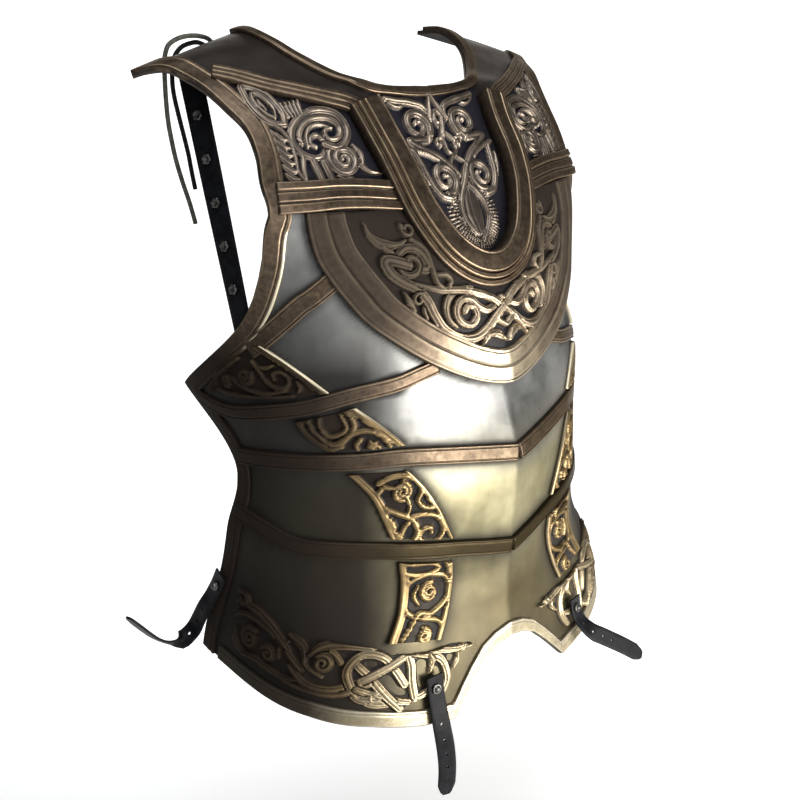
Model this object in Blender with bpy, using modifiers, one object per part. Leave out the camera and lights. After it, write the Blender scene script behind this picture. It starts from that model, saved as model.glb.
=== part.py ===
"""A moulded steel breastplate with stepped bands, a crescent bib, straps and scrollwork panels.

Metres, +Z up. The front faces -Y and the wearer's right is -X. The origin lies between the two
shoulder straps, level with their undersides, where the plate hangs on its wearer.
"""

import math

import bmesh
import bpy
import numpy as np
from mathutils import Vector
from mathutils.bvhtree import BVHTree
from mathutils.geometry import barycentric_transform

# Driving sizes of the plate
HEIGHT = 0.590
HALF_WIDTH = 0.190
DEPTH = 0.150
BACK_DEPTH = 0.230
KEEL_RISE = 0.007
KEEL_SPREAD = 0.070
WALL = 0.004
GAP = 0.0007
RIM_GAP = 0.0011
EDGE_GAP = 0.0014

# Widths and heights of what lies on it
EDGE_RIM_WIDTH = 0.018
EDGE_RIM_HEIGHT = 0.003
NECK_RIM_WIDTH = 0.010
NECK_RIM_HEIGHT = 0.004
HEM_BORDER_WIDTH = 0.014
HEM_BORDER_HEIGHT = 0.003
HEM_RELIEF_HEIGHT = 0.0045
U_BAND_WIDTH = 0.029
U_BAND_HEIGHT = 0.0145
MOULDING_WIDTH = 0.015
MOULDING_HEIGHT = 0.007
BAR_WIDTH = 0.024
BAR_HEIGHT = 0.008
NECK_PANEL_HEIGHT = 0.006
BIB_RIM_WIDTH = 0.030
BIB_RIM_HEIGHT = 0.012
BIB_FIELD_HEIGHT = 0.007
BIB_RELIEF_HEIGHT = 0.0035
SHOULDER_RELIEF_HEIGHT = 0.004
CHEST_STRAP_WIDTH = 0.017
ARMPIT_STRAP_WIDTH = 0.013
CHEST_STRAP_HEIGHT = 0.004
WAIST_STRAP_WIDTH = 0.015
WAIST_STRAP_HEIGHT = 0.005
PANEL_BORDER_WIDTH = 0.007
PANEL_BORDER_HEIGHT = 0.004
PANEL_FIELD_HEIGHT = 0.0025
LEATHER_WIDTH = 0.0175
LEATHER_THICKNESS = 0.0022
STRAP_POINT_LENGTH = 0.012
STRAP_LENGTH = 0.130
STRAP_GAP = 0.0010
STRAP_RINGS = 12
HARNESS_WIDTH = 0.020
HARNESS_THICKNESS = 0.0022
RIVET_RADIUS = 0.0048
RIVET_HEIGHT = 0.0035
STUD_RADIUS = 0.0045
STUD_HEIGHT = 0.0025
STUD_COUNT = 5
LACE_DIAMETER = 0.0039
LACE_LENGTH = 0.200
LACE_POINT_SPACING = 0.0095

# Sections of the trunk, top to bottom. Level is a share of HEIGHT, half_width of HALF_WIDTH, front and
# centre of DEPTH, keel of KEEL_RISE. Squareness is the power of the section's rounded outline.
#    level  half_width  front  centre  squareness  keel
TRUNK_SECTIONS = (
    (-0.222, 1.237, 0.747, -0.147, 2.2, 0.0),
    (-0.297, 1.085, 0.833, -0.200, 2.1, 0.0),
    (-0.378, 1.005, 0.887, -0.233, 2.1, 0.3),
    (-0.492, 1.026, 0.913, -0.267, 2.3, 0.8),
    (-0.588, 0.984, 0.953, -0.333, 2.05, 1.0),
    (-0.703, 1.026, 0.973, -0.300, 2.2, 1.0),
    (-0.785, 1.042, 0.953, -0.300, 2.4, 1.0),
    (-0.830, 1.070, 0.962, -0.300, 2.7, 0.9),
    (-0.873, 1.095, 0.978, -0.300, 3.0, 0.9),
    (-0.924, 1.110, 1.030, -0.280, 3.25, 0.7),
    (-1.000, 1.120, 1.100, -0.267, 3.3, 0.6),
)
BAR_LEVEL = TRUNK_SECTIONS[0][0]

# The armhole and the side edge: level as a share of HEIGHT, back as a share of DEPTH from the origin
SIDE_EDGE = (
    (-0.222, -0.647),
    (-0.297, -0.573),
    (-0.378, -0.387),
    (-0.444, -0.080),
    (-0.500, 0.230),
    (-0.519, 0.080),
    (-0.588, -0.240),
    (-0.703, -0.213),
    (-0.785, -0.133),
    (-0.924, -0.013),
    (-1.000, 0.040),
)
ARMPIT_LEVEL = -0.500

# The lower edge: across as a share from the keel to the side edge, level as a share of HEIGHT
HEM = (
    (0.00, -0.902),
    (0.07, -0.910),
    (0.13, -0.924),
    (0.18, -0.948),
    (0.22, -0.972),
    (0.25, -0.993),
    (0.35, -0.982),
    (0.48, -0.961),
    (0.62, -0.944),
    (0.80, -0.933),
    (1.00, -0.922),
)
HEM_TIP = 0.25

# Rows over the shoulder, from above the bar to the shoulder's rear end. x is a share of HALF_WIDTH, y of
# DEPTH and z of HEIGHT, at the neck side and at the arm side. Crown is a share of DEPTH, lean in degrees.
#    neck_x  neck_y  neck_z   arm_x   arm_y   arm_z   crown  lean
SHOULDER_ROWS = (
    (0.000, -0.780, -0.175, 0.968, -0.587, -0.180, 0.067, 20),
    (0.000, -0.647, -0.127, 0.953, -0.533, -0.146, 0.047, 35),
    (0.000, -0.507, -0.071, 0.953, -0.447, -0.114, 0.045, 32),
    (0.284, -0.480, -0.063, 0.989, -0.340, -0.088, 0.012, 52),
    (0.395, -0.373, -0.053, 1.032, -0.233, -0.064, 0.007, 70),
    (0.511, -0.207, -0.027, 1.068, -0.120, -0.049, 0.013, 80),
    (0.563, -0.073, -0.008, 1.111, -0.027, -0.039, 0.020, 85),
    (0.589, 0.113, 0.008, 1.168, 0.053, -0.041, 0.014, 90),
    (0.568, 0.287, 0.008, 1.205, 0.107, -0.046, 0.004, 95),
)
NECKLINE_ROW = 3
SHELL_COLUMNS = 14
SHELL_ROWS = (9, 5)
SHELL_SHOULDER_PLACES = (1, 1.6, 2.2, 2.8, 3.4, 4, 4.35, 4.7, 5, 5.35, 5.7, 6, 6.6, 7.2, 7.8, 8.5, 9.2, 10)
SKIN_COLUMNS = 60
SKIN_ROWS = (60, 45)
SKIN_ROWS_PER_PLACE = 10

# Routes and outlines. An angle is in degrees from the keel about the trunk's middle, a level is a share
# of HEIGHT, and across is a share of HALF_WIDTH.
WAIST_STRAP_UPPER = (
    (0.4, -0.586), (12, -0.578), (23, -0.571), (41, -0.561), (54, -0.562), (66, -0.564), (77, -0.569), (87, -0.577)
)
WAIST_STRAP_LOWER = (
    (0.4, -0.742), (12, -0.731), (24, -0.719), (46, -0.701), (58, -0.696), (70, -0.693), (81, -0.677), (87, -0.671)
)
CHEST_STRAP_UPPER = ((70.5, -0.366), (68.0, -0.354), (65.5, -0.342), (62.5, -0.331))
CHEST_STRAP_LOWER = ((82, -0.503), (74, -0.493), (66, -0.484), (54, -0.467), (42, -0.457))

# Scroll panels, armpit to hem: rows of (left angle, left level, right angle, right level)
SCROLL_PANELS = (
    ((79.0, -0.425, 72.5, -0.420), (80.0, -0.440, 69.5, -0.433), (81.0, -0.455, 66.0, -0.446), (81.0, -0.470, 63.0, -0.456)),
    ((68.5, -0.504, 53.0, -0.484), (67.5, -0.518, 48.5, -0.504), (65.5, -0.532, 44.5, -0.524), (62.0, -0.545, 41.0, -0.543)),
    ((58.0, -0.582, 41.0, -0.581), (52.0, -0.617, 35.5, -0.612), (48.5, -0.650, 30.0, -0.652), (45.5, -0.682, 25.0, -0.700)),
    ((43.0, -0.722, 25.0, -0.740), (42.5, -0.760, 25.0, -0.775), (43.5, -0.805, 27.0, -0.820), (46.0, -0.843, 30.0, -0.860)),
)

# The hem's ornament: angle, then its top level as a share of HEIGHT
HEM_RELIEF_TOP = (
    (20, -0.892), (25, -0.884), (33, -0.882), (41, -0.874), (50, -0.853),
    (58, -0.843), (65, -0.836), (72, -0.822), (80, -0.808), (86, -0.800),
)

# The crescent bib, from its bottom up: turn in degrees about BIB_CENTRE, reach as a share of HALF_WIDTH
BIB_CENTRE = -0.231
BIB_OUTLINE = (
    (0, 0.785), (13, 0.766), (24, 0.752), (36, 0.753), (48, 0.763),
    (57, 0.779), (66, 0.789), (73, 0.805), (80, 0.826), (88.5, 0.837),
)

# Middle of the neck band seen from 45 degrees above: across (of HALF_WIDTH), along (of HEIGHT)
SLOPE_RUN = 59 / 15
U_BAND_ROUTE = ((0.408, -0.162), (0.389, -0.198), (0.368, -0.265), (0.332, -0.320), (0.245, -0.376), (0.130, -0.408), (0.0, -0.419))
SLANT_ROUTE = ((0.490, -0.153), (0.560, -0.143), (0.660, -0.126), (0.780, -0.103), (0.890, -0.078))
BAR_ROUTE = ((0.462, 0.590), (0.560, 0.688), (0.680, 0.755), (0.790, 0.750), (0.862, 0.757))
NECK_PANEL_ROWS = ((0.268, -0.172), (0.262, -0.215), (0.242, -0.255), (0.205, -0.300), (0.165, -0.335), (0.100, -0.368), (0.025, -0.389))
SHOULDER_RELIEF_ROUTE = ((0.825, -0.142), (0.790, -0.160), (0.720, -0.183), (0.650, -0.205), (0.575, -0.222), (0.500, -0.232))
SHOULDER_RELIEF_WIDTHS = (0.016, 0.030, 0.044, 0.054, 0.046, 0.016)

# Straps that hang free: two places under the rivet, as shares of HALF_WIDTH, DEPTH and HEIGHT, and then the
# points beyond them, measured from the second place as shares of STRAP_LENGTH
HEM_STRAP_HANGING = (
    ((0.510, -1.271, -0.908), (0.510, -1.305, -0.952)),
    ((0.002, -0.056, -0.198), (-0.021, -0.064, -0.344), (-0.052, -0.053, -0.536), (-0.067, -0.029, -0.775)),
)
HEM_STRAP_FLYING = (
    ((0.535, -1.267, -0.908), (0.540, -1.290, -0.939)),
    ((0.042, -0.101, -0.111), (0.166, -0.162, -0.203), (0.327, -0.216, -0.318), (0.527, -0.270, -0.472)),
)
SIDE_STRAP = (
    ((1.042, -0.174, -0.786), (1.062, -0.121, -0.819)),
    (
        (0.068, 0.070, -0.167), (0.102, 0.131, -0.313), (0.218, 0.154, -0.382),
        (0.356, 0.162, -0.321), (0.472, 0.162, -0.198), (0.587, 0.162, -0.044),
    ),
)

# The harness straps' ends, as shares of HALF_WIDTH, DEPTH and HEIGHT, and the way that each end faces
HARNESS_TOP = (0.9263, 0.120, -0.0312)
HARNESS_FOOT = (0.9616, -0.3533, -0.3932)
HARNESS_FACING_TOP = (0.75, -0.66, 0.0)
HARNESS_FACING_FOOT = (0.97, -0.24, 0.0)
STUD_FIRST = 0.197
STUD_STEP = 0.1605

# The two lace cords: their knot behind the right shoulder's end, as shares of HALF_WIDTH, DEPTH and HEIGHT,
# and their points from it as shares of LACE_LENGTH, round their loops and down to their tips
LACE_KNOT = (-0.7105, 0.2633, -0.0119)
LACE_CORDS = {
    "long": (
        (-0.0000, 0.0000, 0.0001), (-0.0200, -0.0050, 0.0201), (-0.0650, -0.0175, 0.0351), (-0.1250, -0.0300, 0.0401),
        (-0.1800, -0.0400, 0.0351), (-0.2300, -0.0500, 0.0201), (-0.2650, -0.0550, -0.0049), (-0.2800, -0.0575, -0.0449),
        (-0.2850, -0.0575, -0.0999), (-0.2875, -0.0575, -0.1899), (-0.2850, -0.0575, -0.2899), (-0.2750, -0.0575, -0.3699),
        (-0.2600, -0.0575, -0.4549), (-0.2350, -0.0575, -0.5499), (-0.2075, -0.0575, -0.6399), (-0.1850, -0.0575, -0.7299),
    ),
    "short": (
        (-0.0500, -0.0100, 0.0001), (-0.0850, -0.0150, 0.0126), (-0.1350, -0.0250, 0.0101), (-0.1850, -0.0350, -0.0049),
        (-0.2125, -0.0415, -0.0249), (-0.2325, -0.0450, -0.0549), (-0.2425, -0.0450, -0.0999), (-0.2425, -0.0450, -0.1799),
        (-0.2250, -0.0450, -0.2749), (-0.2075, -0.0450, -0.3549), (-0.1900, -0.0450, -0.4399), (-0.1800, -0.0450, -0.5099),
        (-0.1675, -0.0450, -0.5849),
    ),
}

SIDES = (("right", -1), ("left", 1))

for old in list(bpy.data.objects):
    bpy.data.objects.remove(old, do_unlink=True)
plate_parts = bpy.data.collections.new("breastplate")
bpy.context.scene.collection.children.link(plate_parts)


def make_material(name, colour, roughness, metallic):
    """A Principled material with one even colour."""
    material = bpy.data.materials.new(name)
    material.use_nodes = True
    shader = material.node_tree.nodes["Principled BSDF"]
    shader.inputs["Base Color"].default_value = (*colour, 1.0)
    shader.inputs["Roughness"].default_value = roughness
    shader.inputs["Metallic"].default_value = metallic
    return material


STEEL = make_material("plate_steel", (0.42, 0.41, 0.36), 0.38, 1.0)
BRONZE = make_material("banding_bronze", (0.25, 0.18, 0.11), 0.42, 1.0)
RELIEF = make_material("relief_bronze", (0.36, 0.29, 0.17), 0.40, 1.0)
LEATHER = make_material("strap_leather", (0.035, 0.036, 0.042), 0.62, 0.0)
STUD_STEEL = make_material("stud_steel", (0.30, 0.30, 0.31), 0.35, 1.0)
LACE = make_material("lace_leather", (0.13, 0.14, 0.12), 0.70, 0.0)


def through(places, values, place):
    """Values at some places, on a smooth curve through a table's rows."""
    order = np.argsort(places)
    places, values = np.asarray(places, float)[order], np.asarray(values, float)[order]
    slopes = np.gradient(values, places)
    low = np.clip(np.searchsorted(places, place) - 1, 0, len(places) - 2)
    span = places[low + 1] - places[low]
    t = np.clip((place - places[low]) / span, 0, 1)
    rise = 3 * t**2 - 2 * t**3
    start = t * (1 - t) ** 2 * span * slopes[low]
    stop = t**2 * (1 - t) * span * slopes[low + 1]
    return (1 - rise) * values[low] + rise * values[low + 1] + start - stop


def section(level):
    """Half width, front reach, centre, squareness and keel height of the trunk at a level in metres."""
    share = np.asarray(level, float) / HEIGHT
    places, *columns = zip(*TRUNK_SECTIONS)
    width, front, centre, power, keel = (through(places, column, share) for column in columns)
    return width * HALF_WIDTH, front * DEPTH, centre * DEPTH, power, keel * KEEL_RISE


def trunk(angle, level):
    """Points of the trunk at an angle in radians from the keel about its middle, and a level in metres."""
    angle, level = np.broadcast_arrays(np.asarray(angle, float), np.asarray(level, float))
    width, front, centre, power, keel = section(level)
    sine, cosine = np.sin(angle), np.cos(angle)
    reach = np.where(cosine > 0, front, BACK_DEPTH)
    radius = (np.abs(sine / width) ** power + np.abs(cosine / reach) ** power) ** (-1 / power)
    x = radius * sine
    y = centre - radius * cosine - keel * np.clip(1 - np.abs(x) / KEEL_SPREAD, 0, 1) ** 1.5
    return np.stack([x, y, level], axis=-1)


def side_angle(level):
    """Angle of the armhole's or side's edge at a level in metres."""
    width, front, centre, power, _ = section(level)
    places, backs = zip(*SIDE_EDGE)
    back = np.interp(-np.asarray(level) / HEIGHT, [-p for p in places], backs) * DEPTH - centre
    reach = np.where(back < 0, front, BACK_DEPTH)
    x = width * np.clip(1 - np.abs(back / reach) ** power, 1e-4, 1) ** (1 / power)
    return np.arctan2(x, -back)


def trunk_row(levels, across):
    """One row of the trunk: a level for each share across from the keel to the side edge."""
    levels = np.broadcast_to(levels, across.shape)
    return trunk(across * side_angle(levels), levels)


def shoulder_rows(across):
    """The rows over the shoulder, led in by two rows of the trunk."""
    rows = [trunk_row(np.full(across.shape, share * HEIGHT), across) for share in (TRUNK_SECTIONS[1][0], BAR_LEVEL)]
    scale = np.array((HALF_WIDTH, DEPTH, HEIGHT))
    for *ends, crown, lean in SHOULDER_ROWS:
        neck, arm = np.array(ends[:3]) * scale, np.array(ends[3:]) * scale
        lift = np.array((0, -math.cos(math.radians(lean)), math.sin(math.radians(lean)))) * crown * DEPTH
        rows.append(neck + (arm - neck) * across[:, None] + lift * (4 * across * (1 - across))[:, None])
    return np.array(rows)


def between_rows(rows, place):
    """Points at a place along a list of rows, by a Catmull-Rom curve that keeps the keel in the middle."""
    last = len(rows) - 1
    low = min(int(place), last - 1)
    t = place - low
    before, start, stop, after = (rows[min(max(k, 0), last)] for k in (low - 1, low, low + 1, low + 2))
    point = 0.5 * (
        2 * start
        + (stop - before) * t
        + (2 * before - 5 * start + 4 * stop - after) * t**2
        + (3 * start - before - 3 * stop + after) * t**3
    )
    if place <= NECKLINE_ROW + 1:
        point[0, 0] = 0
    point[:, 0] = np.maximum(point[:, 0], 0)
    return point


def half_grid(across, row_counts, shoulder_places):
    """Rows of points over the left half, from the hem over the armpit and the bar to the shoulder's end."""
    hem_places, hem_levels = zip(*HEM)
    hem = np.interp(across, hem_places, hem_levels) * HEIGHT
    rows = []
    for start, stop, count in ((hem, ARMPIT_LEVEL, row_counts[0]), (ARMPIT_LEVEL, BAR_LEVEL, row_counts[1])):
        start = start if start is hem else np.full(across.shape, start * HEIGHT)
        for step in range(count):
            rows.append(trunk_row(start + (stop * HEIGHT - start) * step / count, across))
    shoulder = shoulder_rows(across)
    for place in shoulder_places:
        rows.append(between_rows(shoulder, place))
    return np.array(rows)


def columns(count):
    """Shares across, with one on the hem's tip."""
    inner = max(2, round(count * HEM_TIP))
    return np.concatenate([np.linspace(0, HEM_TIP, inner, endpoint=False), np.linspace(HEM_TIP, 1, count - inner + 1)])


class Skin:
    """The smooth outer surface of the shell, on which the other pieces are laid."""

    def __init__(self):
        places = np.arange(SKIN_ROWS_PER_PLACE, (len(SHOULDER_ROWS) + 1) * SKIN_ROWS_PER_PLACE + 1)
        grid = half_grid(columns(SKIN_COLUMNS), SKIN_ROWS, places / SKIN_ROWS_PER_PLACE)
        self.grid = grid
        down = np.gradient(grid, axis=0)
        side = np.gradient(grid, axis=1)
        normals = np.cross(side, down)
        normals /= np.linalg.norm(normals, axis=2, keepdims=True) + 1e-12
        normals[:, 0] = normals[:, 1]
        self.points = [Vector(p) for p in grid.reshape(-1, 3)]
        self.normals = [Vector(n) for n in normals.reshape(-1, 3)]
        wide = grid.shape[1]
        self.faces = []
        for i in range(grid.shape[0] - 1):
            for j in range(wide - 1):
                a = i * wide + j
                self.faces.append((a, a + 1, a + wide + 1))
                self.faces.append((a, a + wide + 1, a + wide))
        self.tree = BVHTree.FromPolygons(self.points, self.faces)

    def smooth_normal(self, place, face):
        corners = [self.points[k] for k in self.faces[face]]
        normals = [self.normals[k] for k in self.faces[face]]
        return barycentric_transform(place, *corners, *normals).normalized()

    def seat(self, point):
        """The nearest place on the skin to a point of either side, with its outward normal."""
        mirror = -1 if point[0] < 0 else 1
        place, _, face, _ = self.tree.find_nearest(Vector((abs(point[0]), point[1], point[2])))
        normal = self.smooth_normal(place, face)
        return Vector((place.x * mirror, place.y, place.z)), Vector((normal.x * mirror, normal.y, normal.z))

    def cast(self, point, heading):
        """The place on the left half that a ray from outside meets."""
        place, _, _, _ = self.tree.ray_cast(Vector(point), Vector(heading))
        return place


skin = Skin()


def on_trunk(angle, level):
    """Place on the skin at an angle in degrees and a level as a share of HEIGHT."""
    return Vector(trunk(math.radians(angle), level * HEIGHT))


def from_front(x, level):
    """Place on the skin below the bar, straight behind a place in the front view."""
    width, front, centre, power, keel = (float(v) for v in section(level))
    share = min(abs(x) / width, 1)
    y = centre - front * (1 - share**power) ** (1 / power) - keel * max(0, 1 - abs(x) / KEEL_SPREAD) ** 1.5
    return Vector((x, y, level))


def from_above(across, along):
    """Place on the skin seen from above the front, along a slope that keeps to DEPTH and HEIGHT."""
    run = SLOPE_RUN * DEPTH
    half = along * math.sqrt(0.5)
    return skin.cast((across * HALF_WIDTH, (half - 1) * run, (half + 1) * HEIGHT), (0, run, -HEIGHT))


def above_bib(across, rise):
    """Place on the skin over the bib's horn: a share of HALF_WIDTH, and a rise as a share of BAR_WIDTH."""
    level = BIB_CENTRE * HEIGHT + rise * BAR_WIDTH
    return skin.cast((across * HALF_WIDTH, -HEIGHT, level), (0, 1, 0))


def scaled(shares):
    """A point from its shares of HALF_WIDTH, DEPTH and HEIGHT."""
    return Vector((shares[0] * HALF_WIDTH, shares[1] * DEPTH, shares[2] * HEIGHT))


def smooth_line(points, count):
    """Evenly spaced points on a Catmull-Rom curve through the given points."""
    points = [Vector(p) for p in points]
    padded = [points[0] * 2 - points[1], *points, points[-1] * 2 - points[-2]]
    dense = []
    for k in range(len(points) - 1):
        a, b, c, d = padded[k : k + 4]
        for step in range(24):
            t = step / 24
            dense.append(
                0.5 * (2 * b + (c - a) * t + (2 * a - 5 * b + 4 * c - d) * t**2 + (3 * b - a - 3 * c + d) * t**3)
            )
    dense.append(points[-1])
    lengths = np.cumsum([0] + [(q - p).length for p, q in zip(dense, dense[1:])])
    wanted = np.linspace(0, lengths[-1], count)
    coordinates = [np.interp(wanted, lengths, [p[axis] for p in dense]) for axis in range(3)]
    return [Vector(p) for p in zip(*coordinates)]


def add_object(name, mesh, material):
    for polygon in mesh.polygons:
        polygon.use_smooth = True
    mesh.set_sharp_from_angle(angle=math.radians(30))
    mesh.materials.append(material)
    piece = bpy.data.objects.new(name, mesh)
    plate_parts.objects.link(piece)
    return piece


def loft(name, rings, material):
    """A closed solid through rings of points, with a flat cap at each end."""
    shape = bmesh.new()
    loops = [[shape.verts.new(point) for point in ring] for ring in rings]
    count = len(loops[0])
    for first, second in zip(loops, loops[1:]):
        for k in range(count):
            shape.faces.new((first[k], first[(k + 1) % count], second[(k + 1) % count], second[k]))
    shape.faces.new(loops[0])
    shape.faces.new(list(reversed(loops[-1])))
    bmesh.ops.recalc_face_normals(shape, faces=shape.faces)
    mesh = bpy.data.meshes.new(name)
    shape.to_mesh(mesh)
    shape.free()
    return add_object(name, mesh, material)


def mirrored(rings, side):
    return [[Vector((point.x * side, point.y, point.z)) for point in ring] for ring in rings]


def laid_ring(places, heights, foot=GAP, under=(0, -1)):
    """One ring on the skin: its top over the places at the heights, its underside just clear of the skin."""
    seats = [skin.seat(place) for place in places]
    top = [place + normal * height for (place, normal), height in zip(seats, heights)]
    below = [seats[k][0] + seats[k][1] * foot for k in under]
    return top + below[::-1]


def strip_rings(route, profile, under=(0, -1), foot=GAP):
    """Rings of a strip along a route on the skin. The profile holds (across, height) pairs, left to right."""
    rings = []
    for k, place in enumerate(route):
        heading = route[min(k + 1, len(route) - 1)] - route[max(k - 1, 0)]
        _, normal = skin.seat(place)
        sideways = heading.cross(normal).normalized()
        places = [place + sideways * across for across, _ in profile]
        rings.append(laid_ring(places, [height for _, height in profile], foot, under))
    return rings


def slope_profile(width, height, lip=0.0012):
    """A flat band with bevelled edges, centred on its route."""
    half = width / 2
    return ((-half, height - lip), (-half + lip, height), (half - lip, height), (half, height - lip))


def stepped_profile(width, height, steps, groove):
    """Ridges parted by grooves, each ridge a little higher than the last."""
    ridge = width / steps
    rise = height * 0.12
    profile = []
    for step in range(steps):
        top = height - rise * (steps - 1 - step)
        start = -width / 2 + ridge * step
        profile.append((start + (groove if step else 0), top))
        profile.append((start + ridge - (0 if step == steps - 1 else groove), top))
        if step < steps - 1:
            profile.append((start + ridge, top - groove))
    return tuple(profile)


def make_shell():
    """The one-piece body: an open surface with a wall grown inwards, mirrored about the keel."""
    grid = half_grid(columns(SHELL_COLUMNS), SHELL_ROWS, SHELL_SHOULDER_PLACES)
    shape = bmesh.new()
    rows = [[shape.verts.new(point) for point in row] for row in grid]
    for low, high in zip(rows, rows[1:]):
        for k in range(len(low) - 1):
            shape.faces.new((low[k], low[k + 1], high[k + 1], high[k]))
    mesh = bpy.data.meshes.new("breast_shell")
    shape.to_mesh(mesh)
    shape.free()
    shell = add_object("breast_shell", mesh, STEEL)
    mirror = shell.modifiers.new("mirror", "MIRROR")
    mirror.merge_threshold = 0.0001
    wall = shell.modifiers.new("wall", "SOLIDIFY")
    wall.thickness = WALL
    wall.offset = -1
    wall.use_even_offset = True
    return shell


def edge_line(first_row, last_row):
    """The arm and side edge of the fine grid between two of its rows."""
    return [Vector(point) for point in skin.grid[first_row : last_row + 1, -1]]


def make_edge_rims():
    """The rim that follows the armhole round the armpit's point and down the side to the hem."""
    tip_row = SKIN_ROWS[0]
    corner = EDGE_RIM_WIDTH / math.tan(math.radians(37))
    edge = edge_line(2, len(skin.grid) - 1)
    lengths = np.cumsum([0] + [(q - p).length for p, q in zip(edge, edge[1:])])
    tip_at = lengths[tip_row - 2]
    below = np.linspace(0, tip_at - corner, 9)
    above = np.linspace(tip_at + corner, lengths[-1], 21)
    wanted = [*below, tip_at, *above]
    coordinates = [np.interp(wanted, lengths, [p[axis] for p in edge]) for axis in range(3)]
    route = [Vector(point) for point in zip(*coordinates)]
    lip = 0.0012
    for name, side in SIDES:
        rings = []
        for k, place in enumerate(route):
            ahead = (route[min(k + 1, len(route) - 1)] - place).normalized()
            behind = (place - route[max(k - 1, 0)]).normalized()
            heading = (ahead + behind).normalized()
            _, normal = skin.seat(place)
            sideways = normal.cross(heading).normalized()
            half_turn = ahead.angle(behind, 0) / 2 if 0 < k < len(route) - 1 else 0
            width = EDGE_RIM_WIDTH / max(math.cos(half_turn), 0.5)
            places = [place + sideways * (width * share) for share in (0.02, 0.92, 1)]
            rings.append(laid_ring(places, (EDGE_RIM_HEIGHT, EDGE_RIM_HEIGHT, EDGE_RIM_HEIGHT - lip), EDGE_GAP))
        loft(f"edge_rim_{name}", mirrored(rings, side), BRONZE)


def make_neck_rim():
    """The plain rim round the neck opening, from one shoulder's end to the other's."""
    first = sum(SKIN_ROWS) + NECKLINE_ROW * SKIN_ROWS_PER_PLACE
    half = [Vector(point) for point in skin.grid[first:, 0]]
    half = smooth_line(half[::3], 20)
    route = [Vector((-p.x, p.y, p.z)) for p in reversed(half)] + half[1:]
    lip = 0.0012
    profile = (
        (0.0003, NECK_RIM_HEIGHT),
        (NECK_RIM_WIDTH / 2, NECK_RIM_HEIGHT),
        (NECK_RIM_WIDTH - lip, NECK_RIM_HEIGHT),
        (NECK_RIM_WIDTH, NECK_RIM_HEIGHT - lip),
    )
    loft("neck_rim", strip_rings(route, profile, (0, 1, 3), EDGE_GAP), BRONZE)


def make_u_band():
    """The deep stepped band that runs from the neckline round under the neck panel."""
    right = [from_above(across, along) for across, along in U_BAND_ROUTE]
    whole = [Vector((-p.x, p.y, p.z)) for p in right] + right[-2::-1]
    route = smooth_line(whole, 25)
    profile = stepped_profile(U_BAND_WIDTH, U_BAND_HEIGHT, 3, 0.0012)
    profile = tuple((-across, height) for across, height in reversed(profile))
    loft("neck_u_band", strip_rings(route, profile, (0, 2, 5, 7)), BRONZE)


def make_neck_panel():
    """The carved panel inside the band, which narrows to a leaf's tip."""
    rings = []
    for across, along in NECK_PANEL_ROWS:
        shares = (-1, -0.9, -0.45, 0, 0.45, 0.9, 1)
        places = []
        for share in shares:
            place = from_above(abs(across * share), along)
            places.append(Vector((math.copysign(place.x, share), place.y, place.z)))
        top = NECK_PANEL_HEIGHT
        rings.append(laid_ring(places, (top - 0.002, top, top, top, top, top, top - 0.002), under=range(7)))
    loft("neck_panel", rings, RELIEF)


def make_bib():
    """The crescent below the band: a recessed field inside a wide stepped rim."""
    centre = BIB_CENTRE * HEIGHT
    turns, reaches = zip(*BIB_OUTLINE)
    band = [from_above(across, along) for across, along in U_BAND_ROUTE]
    band_turns = [math.degrees(math.atan2(p.x, centre - p.z)) for p in band][::-1]
    band_reaches = [math.hypot(p.x, centre - p.z) for p in band][::-1]
    usable = [k for k, turn in enumerate(band_turns) if turn < 100]
    rings = []
    relief = []
    for turn in np.linspace(-88.5, 88.5, 27):
        outer = float(np.interp(abs(turn), turns, reaches)) * HALF_WIDTH
        inner = float(np.interp(abs(turn), [band_turns[k] for k in usable], [band_reaches[k] for k in usable]))
        inner += U_BAND_WIDTH / 2 + 0.004
        rim = outer - BIB_RIM_WIDTH
        step = BIB_RIM_WIDTH / 2
        field_spots = tuple(inner + (rim - inner) * share for share in (0, 0.3, 0.6, 1))
        rim_spots = (rim + 0.001, rim + step, rim + step + 0.001, outer - 0.002, outer)
        spots = field_spots + rim_spots
        high, field = BIB_RIM_HEIGHT, BIB_FIELD_HEIGHT
        heights = (field,) * 4 + (high - 0.002, high - 0.002, high, high, high - 0.002)
        bearing = Vector((math.sin(math.radians(turn)), -math.cos(math.radians(turn))))
        places = [from_front(bearing.x * reach, centre + bearing.y * reach) for reach in spots]
        rings.append(laid_ring(places, heights, under=(0, 1, 2, 3, 5, 8)))
        share = 1 - (turn / 80) ** 2
        if share > 0:
            middle, half = (inner + rim) / 2, (rim - inner) / 2 - 0.004
            half *= 0.35 + 0.65 * min(1, 2.2 * share)
            spots = (middle - half, middle - half * 0.85, middle + half * 0.85, middle + half)
            places = [from_front(bearing.x * reach, centre + bearing.y * reach) for reach in spots]
            base = field + GAP
            top = field + BIB_RELIEF_HEIGHT
            relief.append(laid_ring(places, (top - 0.001, top, top, top - 0.001), base, range(4)))
    loft("bib", rings, BRONZE)
    loft("bib_relief", relief, RELIEF)


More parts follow.
